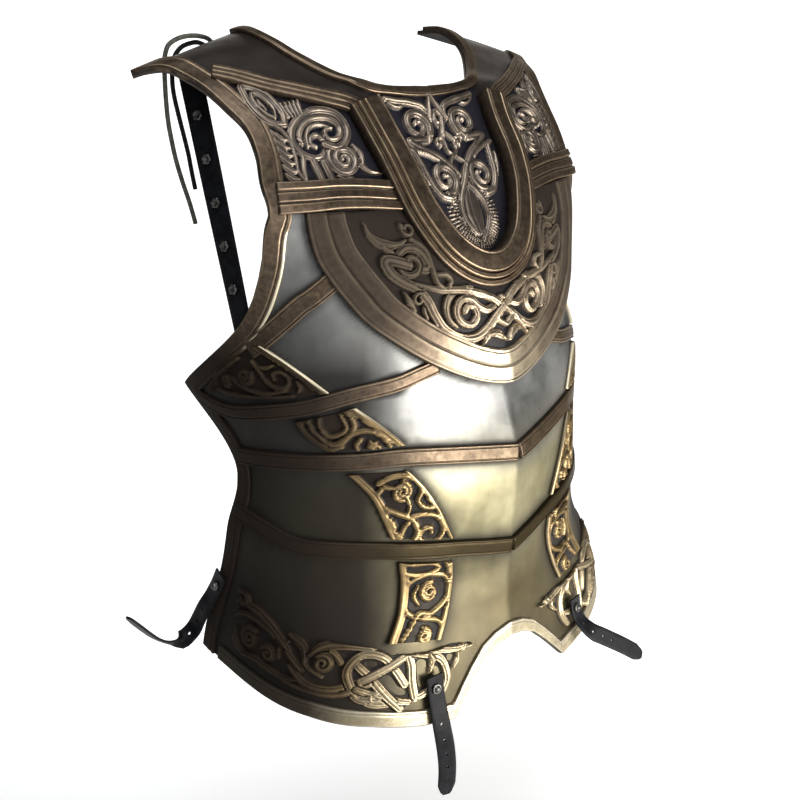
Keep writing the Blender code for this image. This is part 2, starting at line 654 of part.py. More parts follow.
def make_shoulder_trim():
    """On each shoulder a bar, a slanted moulding and a raised scroll between them."""
    for name, side in SIDES:
        bar = smooth_line([above_bib(*place) for place in BAR_ROUTE], 8)
        loft(f"shoulder_bar_{name}", mirrored(strip_rings(bar, stepped_profile(BAR_WIDTH, BAR_HEIGHT, 3, 0.001), (0, 3, 7)), side), BRONZE)
        slant = smooth_line([from_above(*place) for place in SLANT_ROUTE], 8)
        profile = stepped_profile(MOULDING_WIDTH, MOULDING_HEIGHT, 3, 0.001)
        loft(f"shoulder_moulding_{name}", mirrored(strip_rings(slant, profile, (0, 3, 7)), side), BRONZE)
        route = smooth_line([from_above(*place) for place in SHOULDER_RELIEF_ROUTE], 11)
        widths = np.interp(np.linspace(0, 1, 11), np.linspace(0, 1, len(SHOULDER_RELIEF_WIDTHS)), SHOULDER_RELIEF_WIDTHS)
        rings = []
        for k, place in enumerate(route):
            heading = route[min(k + 1, 10)] - route[max(k - 1, 0)]
            _, normal = skin.seat(place)
            sideways = heading.cross(normal).normalized()
            top = SHOULDER_RELIEF_HEIGHT
            places = [place + sideways * widths[k] * share for share in (-0.5, -0.4, 0, 0.4, 0.5)]
            rings.append(laid_ring(places, (top - 0.0015, top, top, top, top - 0.0015), under=(0, 1, 2, 3, 4)))
        loft(f"shoulder_relief_{name}", mirrored(rings, side), RELIEF)


def make_straps():
    """The flat steel straps across the chest and waist."""
    kinds = (
        ("waist_strap_upper", WAIST_STRAP_UPPER, WAIST_STRAP_WIDTH, WAIST_STRAP_HEIGHT, 15),
        ("waist_strap_lower", WAIST_STRAP_LOWER, WAIST_STRAP_WIDTH, WAIST_STRAP_HEIGHT, 15),
        ("chest_strap_upper", CHEST_STRAP_UPPER, CHEST_STRAP_WIDTH, CHEST_STRAP_HEIGHT, 5),
        ("chest_strap_lower", CHEST_STRAP_LOWER, ARMPIT_STRAP_WIDTH, CHEST_STRAP_HEIGHT, 8),
    )
    for kind, places, width, height, count in kinds:
        route = smooth_line([on_trunk(angle, level) for angle, level in places], count)
        rings = strip_rings(route, slope_profile(width, height))
        if kind.startswith("waist"):
            rings[0] = [Vector((GAP, point.y, point.z)) for point in rings[0]]
        for name, side in SIDES:
            loft(f"{kind}_{name}", mirrored(rings, side), BRONZE)


def make_scroll_panels():
    """Four bordered panels on each side, stepping down from the armpit to the hem."""
    for number, rows in enumerate(SCROLL_PANELS, start=1):
        table = np.array(rows)
        rings = []
        for place in np.linspace(0, len(rows) - 1, 4 if number == 1 else 5):
            angle_a, level_a, angle_b, level_b = (np.interp(place, range(len(rows)), column) for column in table.T)
            width = (on_trunk(angle_a, level_a) - on_trunk(angle_b, level_b)).length
            border = min(PANEL_BORDER_WIDTH / width, 0.3)
            inner = (0.5,) if number == 1 else (0.33, 0.5, 0.67)
            shares = (0, 0.02, border, border + 0.02, *inner, 1 - border - 0.02, 1 - border, 0.98, 1)
            high, field = PANEL_BORDER_HEIGHT, PANEL_FIELD_HEIGHT
            heights = (high - 0.001, high, high, *(field,) * (len(inner) + 2), high, high, high - 0.001)
            under = (0, *range(3, len(shares) - 3), len(shares) - 1)
            places = [
                on_trunk(angle_a + (angle_b - angle_a) * share, level_a + (level_b - level_a) * share) for share in shares
            ]
            rings.append(laid_ring(places, heights, RIM_GAP, under))
        for name, side in SIDES:
            loft(f"scroll_panel_{number}_{name}", mirrored(rings, side), RELIEF)


def hem_point(across, rise):
    """A place on the skin a given height above the lower edge."""
    hem_places, hem_levels = zip(*HEM)
    level = np.interp(abs(across), hem_places, hem_levels) * HEIGHT + rise
    angle = across * float(side_angle(level))
    return Vector(trunk(angle, level))


def make_hem():
    """The plain border along the lower edge, and the raised leafwork above it."""
    half = [0, 0.04, 0.08, 0.12, 0.16, 0.20, 0.235, 0.262, *np.linspace(0.30, 0.915, 10)]
    lip = 0.001
    rings = []
    for across in [-share for share in half[:0:-1]] + half:
        low, high = hem_point(across, 0.0004), hem_point(across, HEM_BORDER_WIDTH)
        places = [low.lerp(high, share) for share in (0, 0.9, 1)]
        top = HEM_BORDER_HEIGHT
        rings.append(laid_ring(places, (top, top, top - lip), RIM_GAP))
    loft("hem_border", rings, STEEL)
    rings = []
    hem_places, hem_levels = zip(*HEM)
    for angle in np.linspace(HEM_RELIEF_TOP[0][0], HEM_RELIEF_TOP[-1][0], 14):
        top_level = float(np.interp(angle, *zip(*HEM_RELIEF_TOP))) * HEIGHT
        across = math.radians(angle) / float(side_angle(top_level))
        low_level = float(np.interp(across, hem_places, hem_levels)) * HEIGHT + HEM_BORDER_WIDTH + 0.0040
        places = [on_trunk(angle, (low_level + (top_level - low_level) * share) / HEIGHT) for share in (0, 0.08, 0.5, 0.92, 1)]
        top = HEM_RELIEF_HEIGHT
        rings.append(laid_ring(places, (top - 0.002, top, top, top, top - 0.002), RIM_GAP, range(5)))
    for name, side in SIDES:
        loft(f"hem_relief_{name}", mirrored(rings, side), RELIEF)


def ribbon_rings(route, facings, width, thickness, point_length):
    """Rings of a flat strap along a free route, each ring facing its own heading, with a pointed end."""
    rings = []
    lengths = np.cumsum([0] + [(q - p).length for p, q in zip(route, route[1:])])
    for k, place in enumerate(route):
        heading = (route[min(k + 1, len(route) - 1)] - route[max(k - 1, 0)]).normalized()
        sideways = heading.cross(facings[k]).normalized()
        normal = sideways.cross(heading).normalized()
        left = lengths[-1] - lengths[k]
        taper = 1 if left > point_length else 0.45 + 0.55 * math.sqrt(left / point_length)
        across, out = sideways * width / 2 * taper, normal * thickness / 2
        rings.append([place - across + out, place + across + out, place + across - out, place - across - out])
    return rings


def make_leather_straps():
    """The punched leather straps riveted to the hem and sides, with their rivets."""
    kinds = (
        ("hem_strap_right", HEM_STRAP_HANGING, -1, Vector((-0.35, -0.93, 0)), HEM_RELIEF_HEIGHT),
        ("hem_strap_left", HEM_STRAP_FLYING, 1, Vector((0.35, -0.93, 0.1)), HEM_RELIEF_HEIGHT),
        ("side_strap_right", SIDE_STRAP, -1, Vector((-1, -0.15, 0)), EDGE_RIM_HEIGHT),
        ("side_strap_left", SIDE_STRAP, 1, Vector((1, -0.15, 0)), EDGE_RIM_HEIGHT),
    )
    for name, table, side, facing, carrier in kinds:
        seats, beyond = table
        points = []
        for shares in seats:
            place, normal = skin.seat(scaled(shares))
            points.append(place + normal * (carrier + STRAP_GAP + LEATHER_THICKNESS / 2))
        points += [points[1] + Vector(offset) * STRAP_LENGTH for offset in beyond]
        points = [Vector((point.x * side, point.y, point.z)) for point in points]
        route = smooth_line(points, STRAP_RINGS)
        normal.x *= side
        facings = [normal.lerp(facing, min(max(k - 2, 0) / 4, 1)) for k in range(STRAP_RINGS)]
        rings = ribbon_rings(route, facings, LEATHER_WIDTH, LEATHER_THICKNESS, STRAP_POINT_LENGTH)
        loft(name, rings, LEATHER)
        heading = (route[2] - route[0]).normalized()
        sideways = heading.cross(facings[1]).normalized()
        normal = sideways.cross(heading).normalized()
        seat = route[1] + normal * (LEATHER_THICKNESS / 2 + GAP)
        add_turned(name.replace("strap", "rivet"), seat, normal, RIVET_RADIUS, RIVET_HEIGHT)


def add_turned(name, seat, normal, radius, height):
    """A domed head: a quarter-round profile turned about the axis that it stands on."""
    shape = bmesh.new()
    corners = [(0, height), (radius * 0.7, height * 0.75), (radius, 0), (0, 0)]
    points = [shape.verts.new((x, 0, z)) for x, z in corners]
    for first, second in zip(points, points[1:]):
        shape.edges.new((first, second))
    mesh = bpy.data.meshes.new(name)
    shape.to_mesh(mesh)
    shape.free()
    mesh.materials.append(STUD_STEEL)
    head = bpy.data.objects.new(name, mesh)
    plate_parts.objects.link(head)
    head.location = seat
    head.rotation_euler = normal.to_track_quat("Z", "Y").to_euler()
    turn = head.modifiers.new("turn", "SCREW")
    turn.steps = turn.render_steps = 8
    turn.use_merge_vertices = True
    turn.merge_threshold = 0.0001
    turn.use_smooth_shade = True
    return head


def make_harness():
    """The straight leather strap behind each armhole, with its studs."""
    for name, side in SIDES:
        ends = (scaled(HARNESS_TOP), scaled(HARNESS_FOOT), HARNESS_FACING_TOP, HARNESS_FACING_FOOT)
        top, foot, start_facing, stop_facing = (Vector((x * side, y, z)) for x, y, z in ends)
        heading = (foot - top).normalized()
        shares = np.linspace(0, 1, 5)
        route = [top.lerp(foot, share) for share in shares]
        facings = [start_facing.lerp(stop_facing, share) for share in shares]
        loft(f"harness_strap_{name}", ribbon_rings(route, facings, HARNESS_WIDTH, HARNESS_THICKNESS, 0.0001), LEATHER)
        for number in range(STUD_COUNT):
            share = STUD_FIRST + STUD_STEP * number
            facing = start_facing.lerp(stop_facing, share)
            normal = heading.cross(facing).normalized().cross(heading).normalized()
            seat = top.lerp(foot, share) + normal * (HARNESS_THICKNESS / 2 + GAP)
            add_turned(f"harness_stud_{name}_{number + 1}", seat, normal, STUD_RADIUS, STUD_HEIGHT)


def make_lace():
    """The two cords tied behind the right shoulder's end, each a loop and a hanging tail."""
    for kind, points in LACE_CORDS.items():
        name = f"lace_cord_{kind}"
        curve = bpy.data.curves.new(name, "CURVE")
        curve.dimensions = "3D"
        curve.bevel_depth = LACE_DIAMETER / 2
        curve.bevel_resolution = 2
        curve.use_fill_caps = True
        points = [scaled(LACE_KNOT) + Vector(offset) * LACE_LENGTH for offset in points]
        length = sum((q - p).length for p, q in zip(points, points[1:]))
        route = smooth_line(points, round(length / LACE_POINT_SPACING) + 1)
        line = curve.splines.new("POLY")
        line.points.add(len(route) - 1)
        for knot, place in zip(line.points, route):
            knot.co = (*place, 1)
        curve.materials.append(LACE)
        plate_parts.objects.link(bpy.data.objects.new(name, curve))


make_shell()
make_edge_rims()
make_neck_rim()
make_u_band()
make_neck_panel()
make_bib()
make_shoulder_trim()
make_straps()
make_scroll_panels()
make_hem()
make_leather_straps()
make_harness()
make_lace()
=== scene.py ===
"""A moulded breastplate dressed in aged steel, bronze bands, woven carving and riveted leather.

Metres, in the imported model's frame: +Z up, the front faces -Y and the wearer's right is -X. The surface
functions repeat the CAD source's, but smooth the armhole's edge and the neckline between its sections, so
every piece lies close to its solid. Carving is drawn in flat charts of the surface, in millimetres or
degrees, and raised on fine grids.
"""

import math

import bpy
import numpy as np
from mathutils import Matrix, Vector
from mathutils.bvhtree import BVHTree
from mathutils.geometry import barycentric_transform


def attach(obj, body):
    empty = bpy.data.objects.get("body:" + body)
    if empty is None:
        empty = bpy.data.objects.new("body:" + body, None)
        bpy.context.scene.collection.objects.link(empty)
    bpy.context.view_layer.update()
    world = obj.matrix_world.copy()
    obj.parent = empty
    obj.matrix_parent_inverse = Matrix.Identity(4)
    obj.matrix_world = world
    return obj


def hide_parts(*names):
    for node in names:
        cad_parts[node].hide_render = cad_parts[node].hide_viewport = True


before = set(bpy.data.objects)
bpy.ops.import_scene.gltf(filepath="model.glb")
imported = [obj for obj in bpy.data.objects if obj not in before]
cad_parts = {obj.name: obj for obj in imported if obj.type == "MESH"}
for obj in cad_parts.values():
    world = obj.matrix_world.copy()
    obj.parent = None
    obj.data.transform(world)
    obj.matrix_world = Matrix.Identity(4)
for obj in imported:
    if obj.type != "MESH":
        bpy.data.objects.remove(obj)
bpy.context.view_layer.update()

MM = 0.001
TINY = 1e-15

# Sizes of the plate, as in the CAD source
HEIGHT = 0.590
HALF_WIDTH = 0.190
DEPTH = 0.150
BACK_DEPTH = 0.230
KEEL_RISE = 0.007
KEEL_SPREAD = 0.070
WALL = 0.004
SINK = -0.0014
RIM_SINK = -0.0012

#    level  half_width  front  centre  squareness  keel
TRUNK_SECTIONS = (
    (-0.222, 1.237, 0.747, -0.147, 2.2, 0.0),
    (-0.297, 1.085, 0.833, -0.200, 2.1, 0.0),
    (-0.378, 1.005, 0.887, -0.233, 2.1, 0.3),
    (-0.492, 1.026, 0.913, -0.267, 2.3, 0.8),
    (-0.588, 0.984, 0.953, -0.333, 2.05, 1.0),
    (-0.703, 1.026, 0.973, -0.300, 2.2, 1.0),
    (-0.785, 1.042, 0.953, -0.300, 2.4, 1.0),
    (-0.830, 1.070, 0.962, -0.300, 2.7, 0.9),
    (-0.873, 1.095, 0.978, -0.300, 3.0, 0.9),
    (-0.924, 1.110, 1.030, -0.280, 3.25, 0.7),
    (-1.000, 1.120, 1.100, -0.267, 3.3, 0.6),
)
BAR_LEVEL = TRUNK_SECTIONS[0][0]
SIDE_EDGE = (
    (-0.222, -0.647), (-0.297, -0.573), (-0.378, -0.387), (-0.444, -0.080), (-0.500, 0.230), (-0.519, 0.080),
    (-0.588, -0.240), (-0.703, -0.213), (-0.785, -0.133), (-0.924, -0.013), (-1.000, 0.040),
)
ARMPIT_LEVEL = -0.500
ARMPIT_HALF_ANGLE = 37
# The side rim starts this share of its width in from the plate's edge
RIM_INSET = 0.012
HEM = (
    (0.00, -0.902), (0.07, -0.910), (0.13, -0.924), (0.18, -0.948), (0.22, -0.972), (0.25, -0.993),
    (0.35, -0.982), (0.48, -0.961), (0.62, -0.944), (0.80, -0.933), (1.00, -0.922),
)
HEM_TIP = 0.25

#    neck_x  neck_y  neck_z   arm_x   arm_y   arm_z   crown  lean
SHOULDER_ROWS = (
    (0.000, -0.780, -0.175, 0.968, -0.587, -0.180, 0.067, 20),
    (0.000, -0.647, -0.127, 0.953, -0.533, -0.146, 0.047, 35),
    (0.000, -0.507, -0.071, 0.953, -0.447, -0.114, 0.045, 32),
    (0.284, -0.480, -0.063, 0.989, -0.340, -0.088, 0.012, 52),
    (0.395, -0.373, -0.053, 1.032, -0.233, -0.064, 0.007, 70),
    (0.511, -0.207, -0.027, 1.068, -0.120, -0.049, 0.013, 80),
    (0.563, -0.073, -0.008, 1.111, -0.027, -0.039, 0.020, 85),
    (0.589, 0.113, 0.008, 1.168, 0.053, -0.041, 0.014, 90),
    (0.568, 0.287, 0.008, 1.205, 0.107, -0.046, 0.004, 95),
)
NECKLINE_ROW = 3
SKIN_COLUMNS = 96
SKIN_ROWS = (96, 60)
SKIN_ROWS_PER_PLACE = 14

WAIST_STRAP_UPPER = (
    (
        0.4, -0.586,
    ), (12, -0.578), (23, -0.571), (41, -0.561), (54, -0.562), (66, -0.564), (77, -0.569), (87, -0.577)
)
WAIST_STRAP_LOWER = (
    (
        0.4, -0.742,
    ), (12, -0.731), (24, -0.719), (46, -0.701), (58, -0.696), (70, -0.693), (81, -0.677), (87, -0.671)
)
CHEST_STRAP_UPPER = ((70.5, -0.366), (68.0, -0.354), (65.5, -0.342), (62.5, -0.331))
CHEST_STRAP_LOWER = ((82, -0.503), (74, -0.493), (66, -0.484), (54, -0.467), (42, -0.457))
SCROLL_PANELS = (
    (
        (84.0, -0.417, 77.0, -0.403), (90.0, -0.440, 71.0, -0.420), (94.0, -0.465, 65.0, -0.440),
        (97.0, -0.492, 59.5, -0.462),
    ),
    (
        (68.5, -0.504, 53.0, -0.484), (67.5, -0.518, 48.5, -0.504), (65.5, -0.532, 44.5, -0.524),
        (62.0, -0.545, 41.0, -0.543),
    ),
    (
        (58.0, -0.582, 41.0, -0.581), (52.0, -0.617, 35.5, -0.612), (48.5, -0.650, 30.0, -0.652),
        (45.5, -0.682, 25.0, -0.700),
    ),
    (
        (43.0, -0.722, 25.0, -0.740), (42.5, -0.760, 25.0, -0.775), (43.5, -0.805, 27.0, -0.820),
        (46.0, -0.843, 30.0, -0.860),
    ),
)
BIB_CENTRE = -0.231
BIB_OUTLINE = (
    (0, 0.785), (13, 0.766), (24, 0.752), (36, 0.753), (48, 0.763),
    (57, 0.779), (66, 0.789), (73, 0.805), (80, 0.826), (88.5, 0.837),
)
BIB_RIM_WIDTH = 0.030
SLOPE_RUN = 59 / 15
U_BAND_ROUTE = (
    (
        0.408, -0.162,
    ), (0.389, -0.198), (0.368, -0.265), (0.332, -0.320), (0.245, -0.376), (0.130, -0.408), (0.0, -0.419)
)
SLANT_ROUTE = ((0.490, -0.153), (0.560, -0.143), (0.660, -0.126), (0.780, -0.103), (0.890, -0.078))
BAR_WIDTH = 0.024
BAR_ROUTE = ((0.462, 0.590), (0.560, 0.688), (0.680, 0.755), (0.790, 0.750), (0.862, 0.757))

# Free straps: two places under the rivet, then points beyond them as shares of STRAP_LENGTH
STRAP_LENGTH = 0.130
LEATHER_WIDTH = 0.0175
LEATHER_THICKNESS = 0.0022
RIVET_GAP = 0.0007
HEM_STRAP_HANGING = (
    ((0.510, -1.271, -0.908), (0.510, -1.305, -0.952)),
    ((0.002, -0.056, -0.198), (-0.021, -0.064, -0.344), (-0.052, -0.053, -0.536), (-0.067, -0.029, -0.775)),
)
HEM_STRAP_FLYING = (
    ((0.535, -1.267, -0.908), (0.540, -1.290, -0.939)),
    ((0.042, -0.101, -0.111), (0.166, -0.162, -0.203), (0.327, -0.216, -0.318), (0.527, -0.270, -0.472)),
)
SIDE_STRAP = (
    ((1.042, -0.174, -0.786), (1.062, -0.121, -0.819)),
    (
        (0.068, 0.070, -0.167), (0.102, 0.131, -0.313), (0.218, 0.154, -0.382),
        (0.356, 0.162, -0.321), (0.472, 0.162, -0.198), (0.587, 0.162, -0.044),
    ),
)
HARNESS_TOP = (0.9263, 0.120, -0.0312)
HARNESS_FOOT = (0.9616, -0.3533, -0.3932)
HARNESS_FACING_TOP = (0.75, -0.66, 0.0)
HARNESS_FACING_FOOT = (0.97, -0.24, 0.0)
HARNESS_WIDTH = 0.020
STUD_FIRST = 0.197
STUD_STEP = 0.1605
STUD_COUNT = 5

# The lace cords' knot, as shares of HALF_WIDTH, DEPTH and HEIGHT, and their points as shares of LACE_LENGTH
LACE_KNOT = (-0.7105, 0.2633, -0.0119)
LACE_LENGTH = 0.200
LACE_DIAMETER = 0.0039
LACE_POINT_SPACING = 0.0095
LACE_FINE_SPACING = 0.002
LACE_CORDS = {
    "long": (
        (-0.0000, 0.0000, 0.0001), (-0.0200, -0.0050, 0.0201), (-0.0650, -0.0175, 0.0351),
        (-0.1250, -0.0300, 0.0401),
        (-0.1800, -0.0400, 0.0351), (-0.2300, -0.0500, 0.0201), (-0.2650, -0.0550, -0.0049),
        (-0.2800, -0.0575, -0.0449),
        (-0.2850, -0.0575, -0.0999), (-0.2875, -0.0575, -0.1899), (-0.2850, -0.0575, -0.2899),
        (-0.2750, -0.0575, -0.3699),
        (-0.2600, -0.0575, -0.4549), (-0.2350, -0.0575, -0.5499), (-0.2075, -0.0575, -0.6399),
        (-0.1850, -0.0575, -0.7299),
    ),
    "short": (
        (-0.0500, -0.0100, 0.0001), (-0.0850, -0.0150, 0.0126), (-0.1350, -0.0250, 0.0101),
        (-0.1850, -0.0350, -0.0049),
        (-0.2125, -0.0415, -0.0249), (-0.2325, -0.0450, -0.0549), (-0.2425, -0.0450, -0.0999),
        (-0.2425, -0.0450, -0.1799),
        (-0.2250, -0.0450, -0.2749), (-0.2075, -0.0450, -0.3549), (-0.1900, -0.0450, -0.4399),
        (-0.1800, -0.0450, -0.5099),
        (-0.1675, -0.0450, -0.5849),
    ),
}
SIDES = (("right", -1), ("left", 1))

# Painted shade with some patina on the sides: the trunk's middle as a share of DEPTH, and the level under
# which they darken
TRUNK_MIDDLE = 0.3
SIDE_SHADE_TOP = -0.20
SIDE_SHADE_FADE = 0.06

# The camera, as the photograph was taken
CAMERA_PLACE = (-0.661, -0.760, 0.006)
CAMERA_AZIMUTH = 42.85
CAMERA_PITCH = 19.45
CAMERA_LENS = 47.25
CAMERA_SENSOR = 36


def through(places, values, place):
    """Values at some places, on a smooth curve through a table's rows."""
    order = np.argsort(places)
    places, values = np.asarray(places, float)[order], np.asarray(values, float)[order]
    slopes = np.gradient(values, places)
    low = np.clip(np.searchsorted(places, place) - 1, 0, len(places) - 2)
    span = places[low + 1] - places[low]
    t = np.clip((place - places[low]) / span, 0, 1)
    rise = 3 * t**2 - 2 * t**3
    start = t * (1 - t) ** 2 * span * slopes[low]
    stop = t**2 * (1 - t) * span * slopes[low + 1]
    return (1 - rise) * values[low] + rise * values[low + 1] + start - stop


def section(level):
    """Half width, front reach, centre, squareness and keel height of the trunk at a level in metres."""
    share = np.asarray(level, float) / HEIGHT
    places, *columns_of = zip(*TRUNK_SECTIONS)
    width, front, centre, power, keel = (through(places, column, share) for column in columns_of)
    return width * HALF_WIDTH, front * DEPTH, centre * DEPTH, power, keel * KEEL_RISE


def trunk(angle, level):
    """Points of the trunk at an angle in radians from the keel about its middle, and a level in metres."""
    angle, level = np.broadcast_arrays(np.asarray(angle, float), np.asarray(level, float))
    width, front, centre, power, keel = section(level)
    sine, cosine = np.sin(angle), np.cos(angle)
    reach = np.where(cosine > 0, front, BACK_DEPTH)
    radius = (np.abs(sine / width) ** power + np.abs(cosine / reach) ** power) ** (-1 / power)
    x = radius * sine
    y = centre - radius * cosine - keel * np.clip(1 - np.abs(x) / KEEL_SPREAD, 0, 1) ** 1.5
    return np.stack([x, y, level], axis=-1)


def side_angle(level):
    """Angle of the armhole's or side's edge at a level in metres."""
    width, front, centre, power, _ = section(level)
    share = np.asarray(level, float) / HEIGHT
    tip = [row[0] for row in SIDE_EDGE].index(ARMPIT_LEVEL)
    above, below = (tuple(zip(*rows)) for rows in (SIDE_EDGE[: tip + 1], SIDE_EDGE[tip:]))
    back = np.where(share > ARMPIT_LEVEL, through(*above, share), through(*below, share)) * DEPTH - centre
    reach = np.where(back < 0, front, BACK_DEPTH)
    x = width * np.clip(1 - np.abs(back / reach) ** power, 1e-4, 1) ** (1 / power)
    return np.arctan2(x, -back)


def trunk_row(levels, across):
    """One row of the trunk: a level for each share across from the keel to the side edge."""
    levels = np.broadcast_to(levels, across.shape)
    return trunk(across * side_angle(levels), levels)


def shoulder_rows(across):
    """The rows over the shoulder, led in by two rows of the trunk."""
    rows = [
        trunk_row(np.full(across.shape, share * HEIGHT), across)
        for share in (TRUNK_SECTIONS[1][0], BAR_LEVEL)
    ]
    scale = np.array((HALF_WIDTH, DEPTH, HEIGHT))
    for *ends, crown, lean in SHOULDER_ROWS:
        neck, arm = np.array(ends[:3]) * scale, np.array(ends[3:]) * scale
        lift = np.array((0, -math.cos(math.radians(lean)), math.sin(math.radians(lean)))) * crown * DEPTH
        rows.append(neck + (arm - neck) * across[:, None] + lift * (4 * across * (1 - across))[:, None])
    return np.array(rows)


def between(a, b, c, d, t):
    """The point at a share t of the way from b to c, on a Catmull-Rom curve through a, b, c and d."""
    bend = (2 * a - 5 * b + 4 * c - d) * t**2
    twist = (3 * b - a - 3 * c + d) * t**3
    return 0.5 * (2 * b + (c - a) * t + bend + twist)


def between_rows(rows, place):
    """Points at a place along a list of rows, by a Catmull-Rom curve that keeps the keel in the middle."""
    last = len(rows) - 1
    low = min(int(place), last - 1)
    t = place - low
    before, start, stop, after = (rows[min(max(k, 0), last)] for k in (low - 1, low, low + 1, low + 2))
    if low == NECKLINE_ROW + 1:
        inward = np.clip(np.linspace(0, 1, len(before)) / 0.35, 0, 1)[:, None]
        before = stop * (-1, 1, 1) * (1 - inward) + before * inward
    point = between(before, start, stop, after, t)
    if place <= NECKLINE_ROW + 1:
        point[0, 0] = 0
    point[:, 0] = np.maximum(point[:, 0], 0)
    return point


def half_grid(across, row_counts, shoulder_places):
    """Rows of points over the left half, from the hem over the armpit and the bar to the shoulder's end."""
    hem_places, hem_levels = zip(*HEM)
    hem = np.interp(across, hem_places, hem_levels) * HEIGHT
    rows = []
    for start, stop, count in ((hem, ARMPIT_LEVEL, row_counts[0]), (ARMPIT_LEVEL, BAR_LEVEL, row_counts[1])):
        start = start if start is hem else np.full(across.shape, start * HEIGHT)
        for step in range(count):
            rows.append(trunk_row(start + (stop * HEIGHT - start) * step / count, across))
    shoulder = shoulder_rows(across)
    for place in shoulder_places:
        rows.append(between_rows(shoulder, place))
    return np.array(rows)


def columns(count):
    """Shares across, with one on the hem's tip."""
    inner = max(2, round(count * HEM_TIP))
    return np.concatenate(
        [np.linspace(0, HEM_TIP, inner, endpoint=False), np.linspace(HEM_TIP, 1, count - inner + 1)]
    )


def grid_normals(grid):
    """Outward normals of the half grid. The keel's column takes its neighbour's."""
    down, side = np.gradient(grid, axis=0), np.gradient(grid, axis=1)
    normals = np.cross(side, down)
    normals /= np.linalg.norm(normals, axis=2, keepdims=True) + TINY
    normals[:, 0] = normals[:, 1]
    return normals


class Skin:
    """The smooth outer surface of the shell, on which the other pieces are laid."""

    def __init__(self):
        places = np.arange(SKIN_ROWS_PER_PLACE, (len(SHOULDER_ROWS) + 1) * SKIN_ROWS_PER_PLACE + 1)
        grid = half_grid(columns(SKIN_COLUMNS), SKIN_ROWS, places / SKIN_ROWS_PER_PLACE)
        self.grid = grid
        normals = grid_normals(grid)
        self.points = [Vector(p) for p in grid.reshape(-1, 3)]
        self.normals = [Vector(n) for n in normals.reshape(-1, 3)]
        wide = grid.shape[1]
        corner = (np.arange(grid.shape[0] - 1)[:, None] * wide + np.arange(wide - 1)).ravel()
        first = np.stack([corner, corner + 1, corner + wide + 1], axis=1)
        second = np.stack([corner, corner + wide + 1, corner + wide], axis=1)
        self.faces = np.stack([first, second], axis=1).reshape(-1, 3).tolist()
        self.tree = BVHTree.FromPolygons(self.points, self.faces)

    def smooth_normal(self, place, face):
        corners = [self.points[k] for k in self.faces[face]]
        normals = [self.normals[k] for k in self.faces[face]]
        return barycentric_transform(place, *corners, *normals).normalized()

    def seat(self, point):
        """The nearest place on the skin to a point of either side, with its outward normal."""
        mirror = -1 if point[0] < 0 else 1
        place, _, face, _ = self.tree.find_nearest(Vector((abs(point[0]), point[1], point[2])))
        normal = self.smooth_normal(place, face)
        return Vector((place.x * mirror, place.y, place.z)), Vector((normal.x * mirror, normal.y, normal.z))

    def cast(self, point, heading):
        """The place and normal on the left half that a ray from outside meets."""
        place, _, face, _ = self.tree.ray_cast(Vector(point), Vector(heading))
        if place is None:
            place, _, face, _ = self.tree.find_nearest(
                Vector(point) + Vector(heading).normalized() * HEIGHT * 1.2
            )
        return place, self.smooth_normal(place, face)


skin = Skin()


def from_above(across, along):
    """Place on the skin seen from above the front, along a slope that keeps to DEPTH and HEIGHT."""
    run = SLOPE_RUN * DEPTH
    half = along * math.sqrt(0.5)
    return skin.cast((across * HALF_WIDTH, (half - 1) * run, (half + 1) * HEIGHT), (0, run, -HEIGHT))


def above_bib(across, rise):
    """Place on the skin over the bib's horn: a share of HALF_WIDTH, and a rise as a share of BAR_WIDTH."""
    level = BIB_CENTRE * HEIGHT + rise * BAR_WIDTH
    return skin.cast((across * HALF_WIDTH, -HEIGHT, level), (0, 1, 0))[0]


def scaled(shares):
    """A point from its shares of HALF_WIDTH, DEPTH and HEIGHT."""
    return Vector((shares[0] * HALF_WIDTH, shares[1] * DEPTH, shares[2] * HEIGHT))


def smooth_line(points, count):
    """Evenly spaced points on a Catmull-Rom curve through the given points."""
    points = [Vector(p) for p in points]
    padded = [points[0] * 2 - points[1], *points, points[-1] * 2 - points[-2]]
    dense = []
    for k in range(len(points) - 1):
        a, b, c, d = padded[k : k + 4]
        for step in range(24):
            t = step / 24
            dense.append(between(a, b, c, d, t))
    dense.append(points[-1])
    lengths = np.cumsum([0] + [(q - p).length for p, q in zip(dense, dense[1:])])
    wanted = np.linspace(0, lengths[-1], count)
    return [
        Vector(p)
        for p in zip(*(np.interp(wanted, lengths, [p[axis] for p in dense]) for axis in range(3)))
    ]


# Charts: each takes arrays in millimetres or degrees and gives points on the skin and their normals


def with_normals(surface, a, b, step_a, step_b):
    """Points of a two-way surface, and normals from its slopes."""
    along_a = surface(a + step_a, b) - surface(a - step_a, b)
    along_b = surface(a, b + step_b) - surface(a, b - step_b)
    normals = np.cross(along_a, along_b)
    normals /= np.linalg.norm(normals, axis=-1, keepdims=True) + TINY
    return surface(a, b), normals


def girth_chart(angle, level):
    """Degrees about the trunk from the keel, and level in millimetres."""
    return with_normals(lambda a, b: trunk(np.radians(a), b * MM), angle, level, 0.2, 0.5)


def front_chart(x, level):
    """Millimetres across in the front view, of either side, and level in millimetres."""

    def surface(across, height):
        width, front, centre, power, keel = section(height * MM)
        offset = np.abs(across) * MM
        share = np.minimum(offset / width, 0.9999)
        depth = front * (1 - share**power) ** (1 / power) + keel * np.clip(
            1 - offset / KEEL_SPREAD, 0, 1,
        ) ** 1.5
        return np.stack([across * MM, centre - depth, height * MM], axis=-1)

    return with_normals(surface, x, level, 0.5, 0.5)


